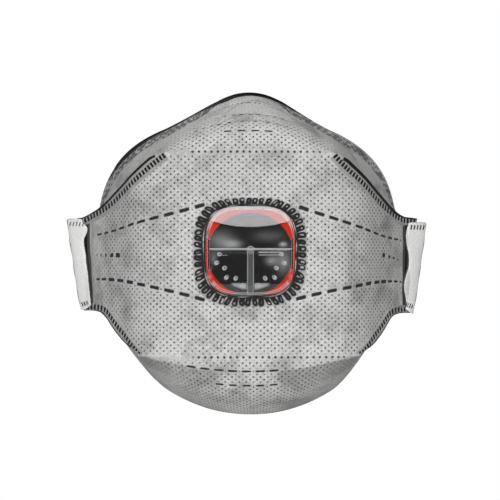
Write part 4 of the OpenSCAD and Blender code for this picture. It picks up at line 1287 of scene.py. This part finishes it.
tabs, loops = {}, {}
for side, word in SIDES:
    tabs[word] = strap_tab(f"{word}_tab_sheet", side)
    loops[word] = strap_loop(f"{word}_loop_band", side)
    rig.blend(tabs[word], "cup", f"{word}_tab", **TAB_BEND[word])
    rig.ride(loops[word], f"{word}_tab")
    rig.replaces(tabs[word], f"{word}_strap_tab")
    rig.replaces(loops[word], f"{word}_strap_loop")

# %% [markdown]
# ## Fabric finish
# The cover is point-bonded polypropylene fleece: fine fibres pressed together by a heated roller that leaves
# a staggered lattice of small dark dots, 3.1 mm by 2.54 mm. Where more fibre lies it is darker, in soft
# clouds. The dots follow the sheet, so they use its flat coordinates. Welds are melted, so they are dark and
# smoother. The fibres themselves are too fine to show, so their grain is drawn as coarse as 0.9 mm.

# %% Bonded fleece
CLOUD_MM, PATCH_MM, GRAIN_MM = 12.5, 1 / 0.28, 1 / 1.1
DOT_U, DOT_V, DOT_R = 3.1, 2.54, 0.41
FOLD_DOT_R = 0.56
RIM_BAR_U, RIM_BAR_V, RIM_BAR_R, RIM_BAND, RIM_BAND_HALF = 3.0, 2.4, 0.84, 2.6, 1.7
RAGGED, SOFT_EDGE = 0.18, 0.16


def lattice_distance(tree, coordinates, pitch_u, pitch_v):
    """Distance in mm to the nearest point of a staggered lattice: a grid of pitch_u by pitch_v and a copy of
    it moved by half of both."""
    nearest = []
    for share in (0.0, 0.5):
        moved = add_node(tree, "VectorMath", {0: coordinates, 1: (share * pitch_u, share * pitch_v, 0)})
        wrapped = add_node(tree, "VectorMath", {0: moved, 1: (pitch_u / 2, pitch_v / 2, 1),
                                                2: (-pitch_u / 2, -pitch_v / 2, -1)}, operation="WRAP")
        nearest.append(add_node(tree, "VectorMath", {0: wrapped}, operation="LENGTH"))
    return add_node(tree, "Math", {0: nearest[0], 1: nearest[1]}, operation="MINIMUM")


def bonded_fleece(name, pale, cloudy, dot, melted, dot_strength, rough, panel_marks=False, speck=0.2):
    """Nonwoven with bonded dots, soft clouds of denser fibre, fine fibre grain, dark welds, and the painted shade
    and painted shadow that the fields carry. panel_marks adds the row of heavy dots along a fold and the
    staggered bars of the welded rim."""
    material, tree = new_material(name)
    sheet = add_node(tree, "UVMap", uv_map="flat")
    space = add_node(tree, "TexCoord").outputs["Object"]
    read = {key: add_node(tree, "Attribute", attribute_name=key).outputs["Fac"] for key in FIELD_REST}
    cloud = add_node(tree, "TexNoise", {"Vector": space, "Scale": 1 / (CLOUD_MM * MM), "Detail": 4.0,
                                        "Roughness": 0.62})
    cloud_share = add_node(tree, "MapRange", {"Value": cloud, "From Min": 0.46, "From Max": 0.74})
    grain = add_node(tree, "TexNoise", {"Vector": space, "Scale": 1 / (GRAIN_MM * MM), "Detail": 3.0,
                                        "Roughness": 0.7})
    ragged = add_node(tree, "MapRange", {"Value": grain, "To Min": -RAGGED, "To Max": RAGGED})

    def pressed_where(distance, radius, strength):
        """Share of a pressed mark: strength inside the radius, falling to nothing over a ragged edge."""
        uneven = add_node(tree, "Math", {0: distance, 1: ragged})
        return add_node(tree, "MapRange", {"Value": uneven, "From Min": radius + SOFT_EDGE,
                                           "From Max": radius - SOFT_EDGE, "To Max": strength},
                        interpolation_type="SMOOTHSTEP")

    patch = add_node(tree, "TexNoise", {"Vector": space, "Scale": 1 / (PATCH_MM * MM), "Detail": 1.0})
    patchy = add_node(tree, "MapRange", {"Value": patch, "From Min": 0.36, "From Max": 0.56,
                                         "To Min": 0.62 * dot_strength, "To Max": dot_strength})
    faded = add_node(tree, "Math", {0: read["dots"], 1: patchy}, operation="MULTIPLY")
    spot = pressed_where(lattice_distance(tree, sheet, DOT_U, DOT_V), DOT_R, faded)
    melt = pressed_where(read["weld"], 0.0, 1.0)
    if panel_marks:
        across = add_node(tree, "SeparateXYZ", {0: sheet}).outputs["X"]
        fold_row = add_node(tree, "CombineXYZ", {"X": across, "Y": read["fold"]})
        turned = add_node(tree, "VectorMath", {0: fold_row, 1: (FOLD_PITCH / 2, 50, 1),
                                               2: (-FOLD_PITCH / 2, -50, -1)}, operation="WRAP")
        to_dot = add_node(tree, "VectorMath", {0: turned}, operation="LENGTH")
        rim_place = add_node(tree, "CombineXYZ", {"X": read["run"], "Y": read["rim"]})
        blotch = add_node(tree, "MapRange", {"Value": patch, "From Min": 0.3, "From Max": 0.7,
                                             "To Min": -0.55, "To Max": 0.55})
        to_bar = lattice_distance(tree, rim_place, RIM_BAR_U, RIM_BAR_V)
        to_bar = add_node(tree, "Math", {0: to_bar, 1: blotch})
        off_band = add_node(tree, "Math", {0: read["rim"], 1: RIM_BAND}, operation="SUBTRACT")
        off_band = add_node(tree, "Math", {0: off_band}, operation="ABSOLUTE")
        in_band = pressed_where(off_band, RIM_BAND_HALF, 0.75)
        for distance, radius, strength in [(to_dot, FOLD_DOT_R, 0.95), (to_bar, RIM_BAR_R, in_band)]:
            melt = add_node(tree, "Math", {0: melt, 1: pressed_where(distance, radius, strength)},
                            operation="MAXIMUM")
    # The sheets' painted shade, with their grey spots, darkens the tone on top of the clouds.
    greyer = add_node(tree, "Math", {0: cloud_share, 1: read["painted_shade_and_spots"]})
    tone = add_node(tree, "Mix", {"Factor": greyer, "A": linear(pale), "B": linear(cloudy)}, data_type="RGBA")
    speckle = add_node(tree, "MapRange", {"Value": grain, "From Min": 0.3, "From Max": 0.7,
                                          "To Min": 1 - 1.2 * speck, "To Max": 1 + 0.8 * speck})
    tone = add_node(tree, "Mix", {"Factor": 1.0, "A": tone, "B": speckle}, data_type="RGBA",
                    blend_type="MULTIPLY")
    tone = add_node(tree, "Mix", {"Factor": spot, "A": tone, "B": linear(dot)}, data_type="RGBA")
    # The deepest welds go near black: the rim's cut edge, and the painted shadow at the seams' lips and on the strap
    # tabs.
    deepest = add_node(tree, "MapRange", {"Value": read["weld"], "From Min": -1.0, "From Max": -1.6})
    burnt_and_painted_shadow = add_node(tree, "Mix", {"Factor": deepest, "A": linear(melted), "B": linear("#0E0E0E")},
                     data_type="RGBA")
    tone = add_node(tree, "Mix", {"Factor": melt, "A": tone, "B": burnt_and_painted_shadow}, data_type="RGBA")
    pressed = add_node(tree, "Math", {0: spot, 1: melt}, operation="MAXIMUM")
    height = add_node(tree, "Math", {0: grain, 1: pressed}, operation="SUBTRACT")
    relief = add_node(tree, "Bump", {"Height": height, "Strength": 0.5, "Distance": 0.25 * MM})
    gloss = add_node(tree, "MapRange", {"Value": melt, "To Min": rough, "To Max": 0.8})
    fleece = add_node(tree, "BsdfPrincipled", {
        "Base Color": tone, "Roughness": gloss, "IOR": 1.49, "Specular IOR Level": 0.08, "Sheen Weight": 0.05,
        "Sheen Roughness": 0.5, "Normal": relief})
    add_node(tree, "OutputMaterial", {"Surface": fleece})
    return material


# Its cloudy colour also takes the painted shade of the panels.
cover_fleece = bonded_fleece("grey_bonded_fleece", "#D3D3D2", "#A0A09F", "#383838", "#363636", 0.96, 0.85,
                             panel_marks=True)
core_fleece = bonded_fleece("carbon_core_fleece", "#5A5B5C", "#434445", "#3A3B3C", "#2A2B2C", 0.2, 0.9)
lining_fleece = bonded_fleece("white_lining_fleece", "#E9E9E7", "#DDDDDA", "#C4C4C1", "#B0B0AC", 0.55, 0.85)
# The seam's weld colour serves the real bars, and at the lip's edge the painted shadow.
seam_fleece = bonded_fleece("pressed_seam_fleece", "#ADADAC", "#989897", "#989897", "#232323", 0.1, 0.7)
# The loop's weld colour serves the real bars and the painted shade along its edges.
loop_fleece = bonded_fleece("white_loop_fleece", "#F3F3F1", "#EAEAE8", "#DADAD8", "#4A4A4A", 0.2, 0.8,
                            speck=0.06)
ring_fleece = bonded_fleece("melted_ring_fleece", "#B9B9B8", "#8C8C8B", "#868686", "#2E2E2E", 0.0, 0.6)
# The tab's weld colour is the painted shadow beside the band.
tab_fleece = bonded_fleece("pressed_tab_fleece", "#BDBDBC", "#9C9C9B", "#9C9C9B", "#4E4E4E", 0.1, 0.75)
print("fleeces", [material.name for material in bpy.data.materials if material.name.endswith("fleece")])

# %% [markdown]
# ## Plastic, rubber, metal and foam
# The valve base is red moulded ABS with a faint moulding texture, the flap is black silicone with a little
# dust, the clip is annealed aluminium strip and the rim foam is closed-cell polyurethane. Each is an even
# colour with a fine texture. The matt ones mirror less than their index alone would give.

# %% Moulded and rolled materials
MOTTLE_MM = 1 / 0.12


def moulded(name, colour, worn, rough, grain_mm, depth_mm, shader):
    """Moulded surface: an even colour with slight cloudiness, and a fine tool texture of grain_mm. shader
    holds further inputs of the Principled shader, such as the index, which a metal leaves alone."""
    material, tree = new_material(name)
    space = add_node(tree, "TexCoord").outputs["Object"]
    texture = add_node(tree, "TexNoise", {"Vector": space, "Scale": 1 / (grain_mm * MM), "Detail": 2.0})
    cloud = add_node(tree, "TexNoise", {"Vector": space, "Scale": 1 / (MOTTLE_MM * MM), "Detail": 3.0})
    tone = add_node(tree, "Mix", {"Factor": cloud, "A": linear(colour), "B": linear(worn)}, data_type="RGBA")
    gloss = add_node(tree, "MapRange", {"Value": cloud, "To Min": rough * 0.85, "To Max": rough * 1.15})
    relief = add_node(tree, "Bump", {"Height": texture, "Strength": 0.4, "Distance": depth_mm * MM})
    body = add_node(tree, "BsdfPrincipled", {
        "Base Color": tone, "Roughness": gloss, "Normal": relief, **shader})
    add_node(tree, "OutputMaterial", {"Surface": body})
    return material


red_abs = moulded("red_moulded_abs", "#D4361F", "#CC301A", 0.5, 0.35, 0.01,
                  {"IOR": 1.54, "Specular IOR Level": 0.2})
black_silicone = moulded("black_silicone_rubber", "#1D1D1D", "#262627", 0.45, 1.5, 0.003,
                         {"IOR": 1.43, "Specular IOR Level": 0.25})
black_abs = moulded("black_moulded_abs", "#141414", "#1C1C1C", 0.4, 0.35, 0.01,
                    {"IOR": 1.54, "Specular IOR Level": 0.25})
grey_clamp = moulded("grey_moulded_polypropylene", "#BDBDBC", "#B2B2B1", 0.42, 0.35, 0.01, {"IOR": 1.49})
black_foam = moulded("black_polyurethane_foam", "#0E0E0E", "#1B1B1B", 0.9, 0.55, 0.35,
                     {"IOR": 1.5, "Specular IOR Level": 0.05})
rolled_aluminium = moulded("rolled_aluminium_strip", "#D9DADC", "#CBCCCE", 0.35, 0.2, 0.005,
                           {"Metallic": 1.0})
print("moulded and rolled", red_abs.name, black_silicone.name, black_abs.name, rolled_aluminium.name)

# %% [markdown]
# ## Clear plastic
# The cover is clear polystyrene. Where its painted light is high it lets less light straight through and
# looks pale, and each pip gets a painted highlight as a thin pale ring. Its colour is painted red where it
# stands for the red base seen through it, and painted dark where it stands for the dark flap seen through it
# and for shade under the roof.

# %% Clear polystyrene
PIP_HIGHLIGHT_R = 0.7

clear_styrene = moulded("clear_moulded_polystyrene", "#FAFBFB", "#F5F6F6", 0.03, 6.0, 0.02, {"IOR": 1.55})
tree = clear_styrene.node_tree
styrene = next(node for node in tree.nodes if node.type == "BSDF_PRINCIPLED")
read = {key: add_node(tree, "Attribute", attribute_name=key).outputs["Fac"]
        for key in ("painted_light", "painted_red", "painted_dark", "pip")}
# Painted highlight: a thin pale ring round each pip.
off_ring = add_node(tree, "Math", {0: read["pip"], 1: PIP_HIGHLIGHT_R}, operation="SUBTRACT")
off_ring = add_node(tree, "Math", {0: off_ring}, operation="ABSOLUTE")
pip_highlight = add_node(tree, "MapRange", {"Value": off_ring, "From Min": 0.22, "From Max": 0.06, "To Max": 0.55},
                    interpolation_type="SMOOTHSTEP")
pale = add_node(tree, "Math", {0: read["painted_light"], 1: pip_highlight}, operation="MAXIMUM")
clear_share = add_node(tree, "MapRange", {"Value": pale, "To Min": 1.0, "To Max": 0.2})
tree.links.new(clear_share.outputs["Result"], styrene.inputs["Transmission Weight"])
# Painted red refraction of the base, then painted darkness.
tint = add_node(tree, "Mix", {"Factor": read["painted_red"], "A": styrene.inputs["Base Color"].links[0].from_socket,
                              "B": linear("#E03A22")}, data_type="RGBA")
tint = add_node(tree, "Mix", {"Factor": read["painted_dark"], "A": tint, "B": linear("#0C0C0C")}, data_type="RGBA")
tree.links.new(tint.outputs["Result"], styrene.inputs["Base Color"])
print("clear plastic reads", list(read))

# %% [markdown]
# ## Give each piece its finish
# Each new piece gets one material and the name of the slot it stands for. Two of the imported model's own nodes
# keep their shape and only change their material: the valve's red base and the clamp ring behind the lining.

# %% Finishes
panels = [centre, upper, lower]
finishes = [
    (cover_fleece, "outer_cover", [panel["cover"] for panel in panels]),
    (core_fleece, "filter_core", [panel["filter"] for panel in panels]),
    (lining_fleece, "inner_lining", [panel["lining"] for panel in panels]),
    (seam_fleece, "welded_lip", list(seams.values())),
    (tab_fleece, "welded_lip", list(tabs.values())),
    (loop_fleece, "white_loop", list(loops.values())),
    (ring_fleece, "valve_weld", [ring]),
    (black_foam, "seal_foam", [foam]),
    (rolled_aluminium, "clip_metal", [nose_clip]),
    (clear_styrene, "clear_moulding", [cover]),
    (black_silicone, "flap_rubber", [flap]),
    (black_abs, "black_moulding", [bar]),
]
for material, slot, pieces in finishes:
    for piece in pieces:
        piece.data.materials.append(material)
        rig.slot(piece, slot)
for node, material in [("valve_base", red_abs), ("valve_clamp_ring", grey_clamp)]:
    mesh = frame["nodes"][node].data
    mesh.materials.clear()
    mesh.materials.append(material)
print("finishes", len(finishes) + 2)

# %% Soft goods
def half_area(piece):
    """Half the surface of a closed thin sheet in square metres, which is the area of the cloth."""
    area = np.zeros(len(piece.data.polygons))
    piece.data.polygons.foreach_get("area", area)
    return float(area.sum() / 2)


SHEETS = [
    (list(centre.values()), (0.175, 0.088), 0.0117, "folded", ["valve_base"]),
    (list(upper.values()), (0.175, 0.042), 0.0056, "folded", [centre["cover"]]),
    (list(lower.values()), (0.175, 0.050), 0.0056, "folded", [centre["cover"]]),
    (list(tabs.values()), (0.040, 0.0145), 0.0005, "folded", [centre["cover"]]),
    ([loops["left"]], (0.044, 0.012), 0.00041, "stretched", [tabs["left"]]),
    ([loops["right"]], (0.044, 0.012), 0.00043, "stretched", [tabs["right"]]),
]
for pieces, flat_size, cut_area, held, rests_on in SHEETS:
    for piece in pieces:
        hems = [*seams.values(), ring] if piece is centre["cover"] else []
        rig.sheet(piece, flat=flat_size, held=held, rests_on=rests_on, area=cut_area, with_pieces=hems)
        print(piece.name, "area over its cut", round(half_area(piece) / cut_area, 3))
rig.padded(foam, fill=0.9)

# %% [markdown]
# ## Write the sizes
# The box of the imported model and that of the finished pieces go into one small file, so they can be compared.

# %% Write the sizes and finish
size = {"cad": [list(map(float, c)) for c in cad_box], "visual": [list(map(float, c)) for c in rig.bounds()]}
with open("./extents.json", "w") as file:
    json.dump(size, file)
